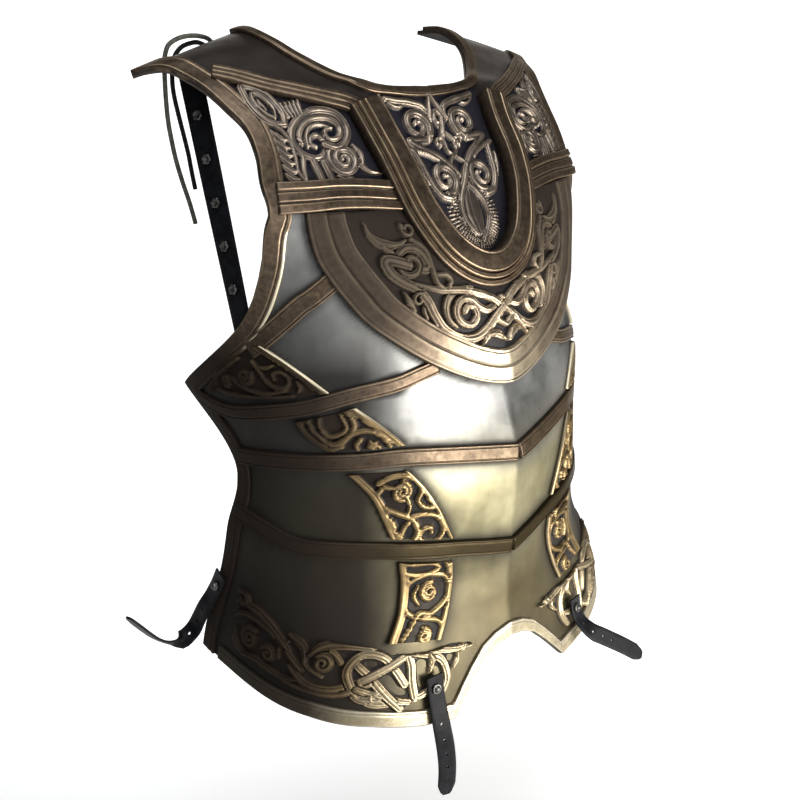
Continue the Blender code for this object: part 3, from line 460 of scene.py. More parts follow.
def slope_chart(x, along):
    """Millimetres across, of either side, and along the slope that the shoulders are seen down."""
    points, normals = np.empty((*x.shape, 3)), np.empty((*x.shape, 3))
    for index in np.ndindex(x.shape):
        place, normal = from_above(abs(x[index]) * MM / HALF_WIDTH, along[index] * MM / HEIGHT)
        mirror = -1 if x[index] < 0 else 1
        points[index] = (place.x * mirror, place.y, place.z)
        normals[index] = (normal.x * mirror, normal.y, normal.z)
    return points, normals


# Carving: strokes woven over and under each other on a fine grid


def curve(points, spacing=0.8):
    """A dense line on a Catmull-Rom curve through given points, in chart millimetres."""
    p = np.asarray(points, float)
    p = np.vstack([2 * p[0] - p[1], p, 2 * p[-1] - p[-2]])
    t = np.linspace(0, 1, 12, endpoint=False)[:, None]
    parts = []
    for a, b, c, d in zip(p, p[1:], p[2:], p[3:]):
        parts.append(between(a, b, c, d, t))
    dense = np.vstack([*parts, p[-2:-1]])
    lengths = np.concatenate([[0], np.cumsum(np.linalg.norm(np.diff(dense, axis=0), axis=1))])
    wanted = np.linspace(0, lengths[-1], max(6, int(lengths[-1] / spacing)))
    return np.stack([np.interp(wanted, lengths, dense[:, k]) for k in (0, 1)], axis=1)


def coil(centre, outer, inner, start, turns, stretch=1.0):
    """Points of a spiral, outside first. Start is in degrees, and turns count anticlockwise."""
    count = max(8, round(abs(turns) * 10))
    share = np.linspace(0, 1, count)
    angle = np.radians(start + 360 * turns * share)
    reach = outer + (inner - outer) * share**0.85
    return [
        (centre[0] + r * math.cos(q), centre[1] + r * math.sin(q) * stretch)
        for r, q in zip(reach, angle)
    ]


def crossings(lines):
    """Where lines cross: pairs of (line, place along it)."""
    found = []
    for i, first in enumerate(lines):
        for j in range(i, len(lines)):
            second = lines[j]
            p, r, q, s = first[:-1], np.diff(first, axis=0), second[:-1], np.diff(second, axis=0)
            cross = r[:, None, 0] * s[None, :, 1] - r[:, None, 1] * s[None, :, 0]
            cross[np.abs(cross) < 1e-12] = 1e-12
            gap = q[None] - p[:, None]
            t = (gap[..., 0] * s[None, :, 1] - gap[..., 1] * s[None, :, 0]) / cross
            u = (gap[..., 0] * r[:, None, 1] - gap[..., 1] * r[:, None, 0]) / cross
            for a, b in np.argwhere((t >= 0) & (t < 1) & (u >= 0) & (u < 1)):
                if i < j or b > a + 3:
                    found.append(((i, a + t[a, b]), (j, b + u[a, b])))
    return found


def weave(lines, half_widths):
    """A level along each line: up where it passes over another and down where it passes under."""
    found = crossings(lines)
    passages = {k: [] for k in range(len(lines))}
    for number, (one, other) in enumerate(found):
        passages[one[0]].append((one[1], number, 0))
        passages[other[0]].append((other[1], number, 1))
    over = {}
    levels, cuts = [], []
    for k, line in enumerate(lines):
        level = np.zeros(len(line))
        upper = True
        places = np.arange(len(line))
        spacing = np.linalg.norm(line[1] - line[0]) + 1e-9
        stops = []
        for place, number, end in sorted(passages[k]):
            if (number, 1 - end) in over:
                upper = not over[(number, 1 - end)]
            over[(number, end)] = upper
            partner = found[number][1 - end][0]
            reach = 1.5 * (half_widths[k].max() + half_widths[partner].max()) / spacing
            bump = np.clip(1 - ((places - place) / reach) ** 2, 0, 1)
            level += (1 if upper else -1) * bump
            stops.append(place)
            upper = not upper
        levels.append(np.clip(level, -1, 1))
        cuts.append([int((a + b) / 2) for a, b in zip(stops, stops[1:])])
    return levels, cuts


def ribbon(share, half_width):
    """A stroke's height as a share of its full height: rounded edges and a line cut down each side."""
    edge = np.sqrt(np.clip(1 - share**4, 0, 1))
    line = 0.34 * np.clip((half_width - 1.1) / 1.2, 0, 1) * np.exp(-(((share - 0.5) / 0.15) ** 2))
    return edge * (1 - line)


STROKE_SCALE = 1.28


def carve(x, y, strokes, height, margin=0.6):
    """Heights in millimetres of woven strokes over chart places in millimetres."""
    lines, half_widths, heights = [], [], []
    for widths, points, *rest in strokes:
        line = curve(points)
        lines.append(line)
        half_widths.append(
            STROKE_SCALE * np.interp(np.linspace(0, 1, len(line)), np.linspace(0, 1, len(widths)), widths)
        )
        heights.append(height * (rest[0] if rest else 1))
    levels, cuts = weave(lines, half_widths)
    flat_x, flat_y = x.ravel(), y.ravel()
    top_level = np.full(flat_x.shape, -9.0)
    pieces = []
    for line, widths, full, level, stops in zip(lines, half_widths, heights, levels, cuts):
        for first, last in zip([0, *stops], [*stops, len(line) - 1]):
            if last <= first:
                continue
            part = line[first : last + 1]
            reach = widths[first : last + 1].max() + margin
            low, high = part.min(axis=0) - reach, part.max(axis=0) + reach
            near = (flat_x > low[0]) & (flat_x < high[0]) & (flat_y > low[1]) & (flat_y < high[1])
            near = np.flatnonzero(near)
            if not len(near):
                continue
            best = np.full(len(near), 1e9)
            place = np.zeros(len(near))
            for k in range(len(part) - 1):
                along = part[k + 1] - part[k]
                off_x, off_y = flat_x[near] - part[k, 0], flat_y[near] - part[k, 1]
                t = np.clip((off_x * along[0] + off_y * along[1]) / (along @ along + 1e-12), 0, 1)
                distance = (off_x - t * along[0]) ** 2 + (off_y - t * along[1]) ** 2
                closer = distance < best
                best[closer] = distance[closer]
                place[closer] = first + k + t[closer]
            distance = np.sqrt(best)
            width = np.interp(place, np.arange(len(line)), widths)
            rank = np.interp(place, np.arange(len(line)), level)
            inside = distance < width + margin
            near, distance, width, rank = near[inside], distance[inside], width[inside], rank[inside]
            np.maximum.at(top_level, near, rank)
            lift = full * np.clip(width / 1.3, 0.25, 1) * (1 + 0.16 * rank)
            pieces.append((near, rank, lift * ribbon(np.clip(distance / width, 0, 1), width)))
    field = np.zeros(flat_x.shape)
    for near, rank, rise in pieces:
        wins = rank > top_level[near] - 0.55
        np.maximum.at(field, near[wins], rise[wins])
    return field.reshape(x.shape)


def blurred(field, cells):
    """A field smoothed by three box averages of the given size."""
    for axis in (0, 1):
        for _ in range(3):
            if field.shape[axis] <= 2 * cells:
                continue
            padding = [(0, 0), (0, 0)]
            padding[axis] = (cells + 1, cells)
            total = np.cumsum(np.pad(field, padding, mode="edge"), axis=axis)
            ahead = np.take(total, range(2 * cells + 1, total.shape[axis]), axis=axis)
            behind = np.take(total, range(0, total.shape[axis] - 2 * cells - 1), axis=axis)
            field = (ahead - behind) / (2 * cells + 1)
    return field


def wear_and_shade_of(height_mm, small, wide, relief=None):
    """Layers of where a surface is rubbed bright with painted highlights along its edges, and where dirt and
    painted shade darken its hollows, from its heights in millimetres.
    """
    # edge: rubbed wear with a painted highlight; hollow: dirt with painted shade
    edge = np.clip((height_mm - blurred(height_mm, small)) / 0.60, 0, 1)
    hollow = np.clip((blurred(height_mm, wide) - height_mm) / 1.5, 0, 1)
    if relief is not None:
        hollow = np.maximum(hollow, np.clip(1 - relief / 1.4, 0, 1) * 0.92)
    return {"edge": edge, "hollow": hollow}


# Meshes


def side_bearing(points):
    """Bearing of points about the trunk's middle, in degrees from the keel to either side."""
    return np.degrees(np.arctan2(np.abs(points[:, 0]), -points[:, 1] - TRUNK_MIDDLE * DEPTH))


def below_armhole(points):
    """Nothing above the armhole's lower part, growing to one a little below."""
    return np.clip((SIDE_SHADE_TOP - points[:, 2]) / SIDE_SHADE_FADE, 0, 1)


def side_shade(points):
    """How much painted shade, with some patina, darkens the body's sides, from the points' bearing about the
    trunk.
    """
    return 0.95 * below_armhole(points) * np.clip((side_bearing(points) - 38) / 26, 0, 1)


def make_piece(name, points, faces, layers, material, nodes, inside=None):
    """A mesh object with its layers of wear, dirt, painted shade and painted highlights, which rides on the
    body and stands for its solids.
    """
    mesh = bpy.data.meshes.new(name)
    mesh.from_pydata(points, [], faces)
    mesh.materials.append(material)
    if inside:
        mesh.materials.append(inside[0])
        mesh.polygons.foreach_set("material_index", inside[1])
    mesh.polygons.foreach_set("use_smooth", [True] * len(mesh.polygons))
    # The shade layer is painted shade on the sides, and the gleam layer a painted highlight, none unless
    # given
    layers = {"shade": side_shade(np.array(points, float)), "gleam": np.zeros(len(points)), **layers}
    for layer, values in layers.items():
        data = mesh.attributes.new(layer, "FLOAT", "POINT").data
        data.foreach_set("value", np.asarray(values, np.float32))
    mesh.update()
    piece = bpy.data.objects.new(name, mesh)
    bpy.context.scene.collection.objects.link(piece)
    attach(piece, "root")
    if nodes:
        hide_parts(*nodes)
    return piece


def quads_of(rows, count, start=0):
    """Faces of a grid of points, rows first."""
    corner = (np.arange(rows - 1)[:, None] * count + np.arange(count - 1)).ravel() + start
    return np.stack([corner, corner + 1, corner + count + 1, corner + count], axis=1)


UNDER_STEP = 6


def sheet_faces(rows, count):
    """Faces of a fine top, a coarse underside and a skirt. Rows and count are UNDER_STEP n + 1."""
    top = quads_of(rows, count).tolist()
    low_rows, low_count = (rows - 1) // UNDER_STEP + 1, (count - 1) // UNDER_STEP + 1
    start = rows * count
    under = quads_of(low_rows, low_count, start)[:, ::-1].tolist()
    skirt = []
    for k in range(low_count - 1):
        span = [k * UNDER_STEP + step for step in range(UNDER_STEP + 1)]
        skirt.append(span[::-1] + [start + k, start + k + 1])
        far, low_far = (rows - 1) * count, start + (low_rows - 1) * low_count
        skirt.append([far + column for column in span] + [low_far + k + 1, low_far + k])
    for k in range(low_rows - 1):
        span = [(k * UNDER_STEP + step) * count for step in range(UNDER_STEP + 1)]
        skirt.append(span + [start + (k + 1) * low_count, start + k * low_count])
        skirt.append(
            [row + count - 1 for row in span][::-1] + [
                start + (k + 1) * low_count - 1, start + (k + 2) * low_count - 1,
            ]
        )
    return top + under + skirt


def add_sheet(name, places, normals, height_mm, layers, material, nodes, mirror=False, floor=SINK):
    """A carved sheet on the skin. The mirrored copy lies on the wearer's right."""
    top = places + normals * (height_mm * MM)[..., None]
    under = (places + normals * floor)[::UNDER_STEP, ::UNDER_STEP]
    points = np.concatenate([top.reshape(-1, 3), under.reshape(-1, 3)])
    spare = np.zeros(under.shape[0] * under.shape[1])
    layers = {key: np.concatenate([value.ravel(), spare]) for key, value in layers.items()}
    faces = sheet_faces(*height_mm.shape)
    row, column = height_mm.shape[0] // 2, height_mm.shape[1] // 2
    along, over = places[row + 1, column] - places[row, column], places[row, column + 1] - places[row, column]
    inward = float(np.cross(over, along) @ normals[row, column]) < 0
    if mirror:
        points = points * (-1, 1, 1)
    if inward != mirror:
        faces = [face[::-1] for face in faces]
    return make_piece(name, points.tolist(), faces, layers, material, nodes)


def whole_steps(length, step):
    """How many grid lines a length in millimetres takes, as UNDER_STEP n + 1."""
    return max(1, round(length / step / UNDER_STEP)) * UNDER_STEP + 1


def region_grid(rows, step):
    """Chart places over a region given by rows of (left a, left b, right a, right b)."""
    table = np.array(rows, float)
    left, right = table[:, :2], table[:, 2:]
    middle = (left + right) / 2
    tall = np.linalg.norm(np.diff(middle, axis=0), axis=1).sum()
    wide = np.linalg.norm(right - left, axis=1).max()
    down = np.linspace(0, len(rows) - 1, whole_steps(tall, step))
    over = np.linspace(0, 1, whole_steps(wide, step))
    sides = [through(range(len(rows)), table[:, k], down) for k in range(4)]
    a = sides[0][:, None] + (sides[2] - sides[0])[:, None] * over
    b = sides[1][:, None] + (sides[3] - sides[1])[:, None] * over
    return a, b


def seated(rings):
    """Places on the skin and their normals, for rings of points near it."""
    seats = [[skin.seat(point) for point in ring] for ring in rings]
    places, normals = ([[seat[part] for seat in ring] for ring in seats] for part in (0, 1))
    return np.array(places), np.array(normals)


def strip_layout(route, across):
    """Places and normals of a strip along a route on the skin, for a list of offsets across it in metres."""
    rings = []
    for k, place in enumerate(route):
        heading = route[min(k + 1, len(route) - 1)] - route[max(k - 1, 0)]
        _, normal = skin.seat(place)
        sideways = heading.cross(normal).normalized()
        rings.append([place + sideways * offset for offset in across])
    return seated(rings)


def groove(place, middle, depth, half):
    """How deep a groove is at a place beside its middle."""
    return depth * np.exp(-(((place - middle) / half) ** 4))


def lip_drop(inset, lip):
    """How far a rounded edge falls at an inset from it."""
    return lip * (1 - np.sqrt(1 - np.clip(1 - inset / lip, 0, 1) ** 2))


def rounded_profile(width, height, grooves=(), lip=1.1, steps=(), spacing=0.5):
    """Offsets across a band and its heights, all in millimetres. Grooves are (offset, depth, half width)."""
    count = whole_steps(width, spacing)
    across = np.linspace(-width / 2, width / 2, count)
    rise = np.full(count, float(height))
    for offset, change in steps:
        rise += change * np.clip((across - offset) / 0.4 + 0.5, 0, 1)
    for offset, depth, half in grooves:
        rise -= groove(across, offset, depth, half)
    inset = np.minimum(across + width / 2, width / 2 - across)
    return across, rise - lip_drop(inset, lip)


def add_pair(name, places, normals, height_mm, layers, material, floor=SINK):
    """A carved sheet on each side, each standing for the solid of its name."""
    for side, turn in SIDES:
        label = f"{name}_{side}"
        add_sheet(label, places, normals, height_mm, layers, material, [label], turn < 0, floor)


def add_band(name, route, profile, paired):
    """A bronze band with a worked profile along a route, or one on each side."""
    across, rise = profile
    places, normals = strip_layout(route, across * MM)
    heights = np.tile(rise, (len(route), 1))
    layers = wear_and_shade_of(heights, 1, 4)
    if paired:
        add_pair(name, places, normals, heights, layers, BRONZE)
    else:
        add_sheet(name, places, normals, heights, layers, BRONZE, [name])


def ring_count(points, spacing=1.8):
    """How many rings a band through these points takes."""
    length = sum((Vector(q) - Vector(p)).length for p, q in zip(points, points[1:]))
    return whole_steps(length / MM, spacing)


class Look:
    """A procedural material, joined up from a few kinds of node."""

    def __init__(self, name, metallic, roughness):
        self.material = bpy.data.materials.new(name)
        self.material.use_nodes = True
        self.tree = self.material.node_tree
        self.shader = self.tree.nodes["Principled BSDF"]
        self.shader.inputs["Metallic"].default_value = metallic
        self.shader.inputs["Roughness"].default_value = roughness
        self.shader.inputs["Specular IOR Level"].default_value = 0.22
        self.shader.inputs["Specular Tint"].default_value = (0.50, 0.47, 0.43, 1.0)
        self.place = self.tree.nodes.new("ShaderNodeTexCoord").outputs["Object"]

    def join(self, kind, inputs, output=0, **settings):
        node = self.tree.nodes.new(kind)
        for key, value in settings.items():
            setattr(node, key, value)
        for key, value in inputs.items():
            if isinstance(value, bpy.types.NodeSocket):
                self.tree.links.new(value, node.inputs[key])
            else:
                node.inputs[key].default_value = value
        return node.outputs[output]

    def noise(self, scale, detail=5.0, stretch=None):
        place = self.place
        if stretch:
            place = self.join("ShaderNodeMapping", {"Vector": place, "Scale": stretch})
        return self.join(
            "ShaderNodeTexNoise",
            {"Vector": place, "Scale": scale, "Detail": detail, "Roughness": 0.6},
        )

    def layer(self, name):
        return self.join("ShaderNodeAttribute", {}, output="Fac", attribute_name=name)

    def spread(self, value, low, high, to_low=0.0, to_high=1.0):
        inputs = {"Value": value, 1: low, 2: high, 3: to_low, 4: to_high}
        return self.join("ShaderNodeMapRange", inputs)

    def maths(self, operation, one, other):
        return self.join("ShaderNodeMath", {0: one, 1: other}, operation=operation, use_clamp=True)

    def blend(self, share, one, other):
        inputs = {"Factor": share, 6: one, 7: other}
        return self.join("ShaderNodeMix", inputs, output=2, data_type="RGBA")

    def colour(self, socket):
        self.tree.links.new(socket, self.shader.inputs["Base Color"])

    def rough(self, socket):
        self.tree.links.new(socket, self.shader.inputs["Roughness"])

    def dull(self, dirt_and_shade, share):
        """Dirt and painted shade hide the metal's shine."""
        metal = self.spread(dirt_and_shade, 0.0, 1.0, self.shader.inputs["Metallic"].default_value, 1 - share)
        self.tree.links.new(metal, self.shader.inputs["Metallic"])

    def bump(self, socket, strength, distance):
        bump = self.join("ShaderNodeBump", {"Height": socket, "Strength": strength, "Distance": distance})
        self.tree.links.new(bump, self.shader.inputs["Normal"])


def rgb(red, green, blue):
    return (red, green, blue, 1.0)


def worn_look(name, face, dark, bright, roughness=0.40, mottle=0.5, glint=1.0, low=0.0):
    """Cast metal: dirt and painted shade in its hollows, rubbed wear and painted highlights along its edges,
    mottled all over, darker low down, with painted shade on the sides and painted highlights where given.
    """
    look = Look(name, 0.90, roughness)
    patches = look.spread(look.noise(26), 0.36, 0.64)
    fine = look.spread(look.noise(210), 0.35, 0.65)
    tone = look.blend(look.maths("MULTIPLY", patches, mottle), face, dark)
    tone = look.blend(look.maths("MULTIPLY", fine, 0.18), tone, bright)
    # Rubbed wear with a painted highlight along the edges
    edge_highlight = look.maths(
        "MULTIPLY",
        look.layer("edge"),
        look.spread(look.noise(60), 0.30, 0.55, 0.45 * glint, glint),
    )
    tone = look.blend(edge_highlight, tone, bright)
    # Dirt with painted shade in the hollows
    tone = look.blend(look.layer("hollow"), tone, dark)
    level = look.join("ShaderNodeSeparateXYZ", {"Vector": look.place}, output="Z")
    tone = look.blend(look.spread(level, -0.30, -0.42, 0.0, low), tone, rgb(0.034, 0.026, 0.013))
    # Painted shade on the sides, then painted highlights
    tone = look.blend(look.layer("shade"), tone, rgb(0.020, 0.014, 0.011))
    tone = look.blend(look.layer("gleam"), tone, rgb(0.90, 0.80, 0.58))
    look.colour(tone)
    look.dull(look.maths("MAXIMUM", look.layer("hollow"), look.layer("shade")), 0.85)
    matt = look.spread(look.layer("shade"), 0.0, 1.0, 0.0, 0.85)
    look.rough(
        look.maths(
            "MAXIMUM",
            look.spread(look.noise(90), 0.3, 0.7, roughness - 0.08, roughness + 0.10),
            matt,
        )
    )
    look.bump(look.noise(420), 0.16, 0.0006)
    return look.material


def plate_look():
    """Aged steel plates: grey on the chest, green-gold on the belly and darker towards the hem, darkened
    beside the bands by dirt and painted shade, and at the sides by painted shade and patina.
    """
    look = Look("plate_steel", 0.95, 0.36)
    level = look.join("ShaderNodeSeparateXYZ", {"Vector": look.place}, output="Z")
    belly = look.spread(level, -0.30, -0.37)
    cloud = look.spread(look.noise(9, 4.0), 0.36, 0.66)
    streak = look.spread(look.noise(30, 6.0, (1, 1, 0.35)), 0.38, 0.66)
    chest = look.blend(cloud, rgb(0.28, 0.285, 0.28), rgb(0.58, 0.58, 0.56))
    gold = look.blend(cloud, rgb(0.16, 0.142, 0.080), rgb(0.46, 0.42, 0.26))
    tone = look.blend(belly, chest, gold)
    tone = look.blend(look.spread(level, -0.41, -0.49, 0.0, 0.80), tone, rgb(0.085, 0.066, 0.036))
    tone = look.blend(look.spread(level, -0.134, -0.126), tone, rgb(0.085, 0.070, 0.062))
    tone = look.blend(look.maths("MULTIPLY", streak, 0.30), tone, rgb(0.06, 0.052, 0.040))
    # Dirt and painted shade beside the bands, painted shade with patina at the sides, darker low on the belly
    tone = look.blend(look.layer("grime_and_shade"), tone, rgb(0.013, 0.011, 0.010))
    look.colour(tone)
    look.dull(look.layer("grime_and_shade"), 0.88)
    matt = look.spread(look.layer("grime_and_shade"), 0.3, 1.0, 0.0, 0.80)
    look.rough(look.maths("MAXIMUM", look.spread(look.noise(55), 0.3, 0.7, 0.27, 0.43), matt))
    look.bump(look.noise(300, 6.0), 0.10, 0.0005)
    return look.material


def plain_look(name, one, other, metallic, roughness, scale, bump=0.1):
    """A material with two tones mixed by noise."""
    look = Look(name, metallic, roughness)
    look.colour(look.blend(look.spread(look.noise(scale), 0.35, 0.65), one, other))
    look.bump(look.noise(scale * 4), bump, 0.0008)
    return look.material


BRONZE = worn_look(
    "banding_bronze", rgb(0.104, 0.075, 0.053), rgb(0.022, 0.017, 0.016), rgb(0.50, 0.37, 0.24), 0.38, 0.5,
    0.8, low=0.95,
)
RELIEF = worn_look(
    "relief_bronze", rgb(0.105, 0.072, 0.038), rgb(0.008, 0.008, 0.009), rgb(0.44, 0.31, 0.145), 0.36, 0.4,
    0.65,
)
YOKE = worn_look(
    "relief_bronze_dark", rgb(0.115, 0.092, 0.078), rgb(0.008, 0.009, 0.016), rgb(0.42, 0.34, 0.26), 0.38,
    0.4, 0.7,
)
COLLAR = worn_look(
    "collar_bronze", rgb(0.16, 0.115, 0.080), rgb(0.014, 0.013, 0.015), rgb(0.60, 0.48, 0.33), 0.34, 0.4,
    0.75,
)
BRIGHT = worn_look(
    "hem_steel", rgb(0.44, 0.37, 0.23), rgb(0.06, 0.045, 0.03), rgb(0.90, 0.83, 0.68), 0.30, 0.40,
)
STEEL = plate_look()
# The shell's inner face, near black all over
DARK_INSIDE = plain_look("dark_inside", rgb(0.010, 0.010, 0.012), rgb(0.020, 0.020, 0.022), 0.0, 0.75, 60)
LEATHER = plain_look("strap_leather", rgb(0.004, 0.004, 0.005), rgb(0.010, 0.011, 0.014), 0.0, 0.50, 120, 0.3)
STUD_STEEL = plain_look("stud_steel", rgb(0.055, 0.052, 0.050), rgb(0.20, 0.19, 0.18), 0.9, 0.34, 300)
LACE = plain_look("lace_leather", rgb(0.060, 0.064, 0.052), rgb(0.13, 0.135, 0.110), 0.0, 0.70, 200, 0.3)
LACE_BLACK = plain_look(
    "lace_leather_black", rgb(0.010, 0.010, 0.011), rgb(0.022, 0.022, 0.023), 0.0, 0.62, 200, 0.3,
)


def make_camera():
    """The camera, where the photograph was taken from."""
    data = bpy.data.cameras.new("camera")
    data.lens = CAMERA_LENS
    data.sensor_width = CAMERA_SENSOR
    data.clip_start = 0.01
    camera = bpy.data.objects.new("camera", data)
    camera.location = CAMERA_PLACE
    camera.rotation_euler = (math.radians(90 - CAMERA_PITCH), 0, -math.radians(CAMERA_AZIMUTH))
    bpy.context.scene.collection.objects.link(camera)
    bpy.context.scene.camera = camera


def make_lace():
    """The two cords tied behind the right shoulder's end, each a loop and a hanging tail."""
    for kind, points in LACE_CORDS.items():
        name = f"lace_cord_{kind}"
        line = bpy.data.curves.new(name, "CURVE")
        line.dimensions = "3D"
        line.bevel_depth = LACE_DIAMETER / 2
        line.bevel_resolution = 4
        line.use_fill_caps = True
        points = [scaled(LACE_KNOT) + Vector(offset) * LACE_LENGTH for offset in points]
        length = sum((q - p).length for p, q in zip(points, points[1:]))
        route = smooth_line(points, round(length / LACE_POINT_SPACING) + 1)
        route = smooth_line(route, round(length / LACE_FINE_SPACING) + 1)
        spline = line.splines.new("POLY")
        spline.points.add(len(route) - 1)
        for knot, place in zip(spline.points, route):
            knot.co = (*place, 1)
        line.materials.append(LACE if kind == "long" else LACE_BLACK)
        cord = bpy.data.objects.new(name, line)
        bpy.context.scene.collection.objects.link(cord)
        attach(cord, "root")
        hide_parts(name)
        length = sum((q - p).length for p, q in zip(route, route[1:]))


def on_trunk(angle, level):
    """Place on the skin at an angle in degrees and a level as a share of HEIGHT."""
    return Vector(trunk(math.radians(angle), level * HEIGHT))


def band_routes():
    """The dense middle lines of the bands that dirt and painted shade gather beside, on the left half."""
    lines = []
    for places in (WAIST_STRAP_UPPER, WAIST_STRAP_LOWER, CHEST_STRAP_UPPER, CHEST_STRAP_LOWER):
        lines.append((smooth_line([on_trunk(*place) for place in places], 60), 8.0))
    for rows in SCROLL_PANELS:
        for first in (0, 2):
            lines.append((smooth_line([on_trunk(row[first], row[first + 1]) for row in rows], 30), 1.0))
    bearings = np.radians([turn for turn, _ in BIB_OUTLINE])
    reaches = np.array([reach for _, reach in BIB_OUTLINE]) * HALF_WIDTH / MM
    level = BIB_CENTRE * HEIGHT / MM - np.cos(bearings) * reaches
    outline, _ = front_chart(np.sin(bearings) * reaches, level)
    lines.append((smooth_line(outline, 80), 0.0))
    return lines


def plate_dirt_and_shade(points):
    """How dark the plates are made: dirt and painted shade beside their bands, darker low on the belly, and
    painted shade with some patina at the sides.
    """
    dirt_and_shade = np.zeros(len(points))
    for line, half_width in band_routes():
        gap = np.full(len(points), math.inf)
        for place in np.array(line):
            gap = np.minimum(gap, np.linalg.norm(points - place, axis=1))
        clear = np.clip(gap / MM - half_width, 0, None)
        # Dirt and painted shade beside the bands
        dirt_and_shade = np.maximum(dirt_and_shade, 0.50 * np.exp(-clear / 7) + 0.42 * np.exp(-clear / 18))
    # Darker low on the belly
    dirt_and_shade = np.maximum(dirt_and_shade, 0.58 * np.clip((-0.50 - points[:, 2]) / 0.09, 0, 1))
    # Painted shade with some patina at the sides
    at_side = np.clip((side_bearing(points) - 27) / 26, 0, 1)
    return np.maximum(dirt_and_shade, (0.35 + 0.61 * below_armhole(points)) * at_side)


def make_shell():
    """The moulded plate with its wall, mirrored about the keel, darkened beside its bands by dirt and painted
    shade.
    """
    across = columns(70)
    places = np.linspace(1, len(SHOULDER_ROWS) + 1, 84)
    grid = half_grid(across, (112, 62), places)
    normals = grid_normals(grid)
    keel_rows = int(np.sum(grid[:, 0, 0] < 1e-7))
    normals[:keel_rows, 0, 0] = 0
    normals /= np.linalg.norm(normals, axis=2, keepdims=True)
    rows, count = grid.shape[:2]
    inner = grid - normals * WALL
    flat = np.concatenate([grid.reshape(-1, 3), inner.reshape(-1, 3)])
    size = len(flat)
    points = np.concatenate([flat, flat * (-1, 1, 1)])
    outer_ids = np.arange(rows * count).reshape(rows, count)
    faces, inside = [], []
    for half in (0, 1):
        out = outer_ids + half * size
        within = out + rows * count
        if half:
            out, within = out.copy(), within.copy()
            out[:keel_rows, 0] = outer_ids[:keel_rows, 0]
            within[:keel_rows, 0] = outer_ids[:keel_rows, 0] + rows * count

        def quads(a, b, c, d):
            made = np.stack([a, b, c, d], axis=-1).reshape(-1, 4)
            return made[:, ::-1].tolist() if half else made.tolist()

        parts = [
            (quads(out[:-1, :-1], out[:-1, 1:], out[1:, 1:], out[1:, :-1]), 0),
            (quads(within[:-1, :-1], within[1:, :-1], within[1:, 1:], within[:-1, 1:]), 1),
            (quads(out[0, :-1], within[0, :-1], within[0, 1:], out[0, 1:]), 0),
            (quads(out[-1, :-1], out[-1, 1:], within[-1, 1:], within[-1, :-1]), 0),
            (quads(out[:-1, -1], within[:-1, -1], within[1:, -1], out[1:, -1]), 0),
            (
                quads(
                    out[keel_rows - 1 : -1, 0], out[keel_rows:, 0], within[keel_rows:, 0],
                    within[keel_rows - 1 : -1, 0],
                ),
                0,
            ),
        ]
        for made, kind in parts:
            faces += made
            inside += [kind] * len(made)
    dirt_and_shade, spare = plate_dirt_and_shade(grid.reshape(-1, 3)), np.zeros(size - rows * count)
    layer = np.concatenate([dirt_and_shade, spare, dirt_and_shade, spare])
    used = np.unique(np.concatenate([np.array(face) for face in faces]))
    new_place = np.full(len(points), -1)
    new_place[used] = np.arange(len(used))
    faces = [[int(new_place[k]) for k in face] for face in faces]
    layers = {"grime_and_shade": layer[used], "edge": np.zeros(len(used))}
    make_piece(
        "breast_shell", points[used].tolist(), faces, layers, STEEL, ["breast_shell"],
        (DARK_INSIDE, inside),
    )


def mitred_sections(edge, tip_row, corner, width):
    """Crossing lines of a rim along an edge: each from the edge inwards, mitred at the armpit's point."""
    lengths = np.cumsum([0] + [(q - p).length for p, q in zip(edge, edge[1:])])
    tip_at = lengths[tip_row]
    wanted = [*np.linspace(0, tip_at - corner, 60), tip_at, *np.linspace(tip_at + corner, lengths[-1], 130)]
    route = [Vector([np.interp(s, lengths, [p[axis] for p in edge]) for axis in range(3)]) for s in wanted]
    sections = []
    for k, place in enumerate(route):
        ahead = (route[min(k + 1, len(route) - 1)] - place).normalized()
        behind = (place - route[max(k - 1, 0)]).normalized()
        _, normal = skin.seat(place)
        sideways = normal.cross((ahead + behind).normalized()).normalized()
        half_turn = ahead.angle(behind, 0) / 2 if 0 < k < len(route) - 1 else 0
        sections.append((place, place + sideways * width / max(math.cos(half_turn), 0.5)))
    dense = []
    for (a, b), (c, d) in zip(sections, sections[1:]):
        steps = max(1, round((c - a).length / 0.0032))
        dense += [(a.lerp(c, step / steps), b.lerp(d, step / steps)) for step in range(steps)]
    dense.append(sections[-1])
    keep = np.round(
        np.linspace(0, len(dense) - 1, ((len(dense) - 1) // UNDER_STEP) * UNDER_STEP + 1)
    ).astype(int)
    return [dense[k] for k in keep]


# Between these levels the armhole rim's inner edge carries a painted highlight
HIGHLIGHT_LEVELS = (-0.232, -0.136)


def make_edge_rims():
    """The rim round the armhole and down the side, with a fine line near its inner edge."""
    width, height = 18, 3.0
    edge = [Vector(point) for point in skin.grid[1:, -1]]
    corner = width * MM / math.tan(math.radians(ARMPIT_HALF_ANGLE))
    sections = mitred_sections(edge, SKIN_ROWS[0] - 1, corner, width * MM)
    across, rise = rounded_profile(width, height, ((4.6, 0.9, 0.55),), lip=1.0, spacing=0.6)
    shares = RIM_INSET + (1 - RIM_INSET) * (across / width + 0.5)
    places, normals = seated([[start.lerp(stop, share) for share in shares] for start, stop in sections])
    heights = np.tile(rise, (len(sections), 1))
    layers = wear_and_shade_of(heights, 1, 4)
    # A painted highlight on the rim's inner lip, between these levels
    low, high = HIGHLIGHT_LEVELS
    level = places[:, 0, 2]
    edge_highlight = np.clip((level - low) / 0.01, 0, 1) * np.clip((high - level) / 0.004, 0, 1)
    layers["gleam"] = 0.9 * edge_highlight[:, None] * np.clip((across - width / 2 + 2.4) / 0.5, 0, 1)
    add_pair("edge_rim", places, normals, heights, layers, BRONZE, RIM_SINK)


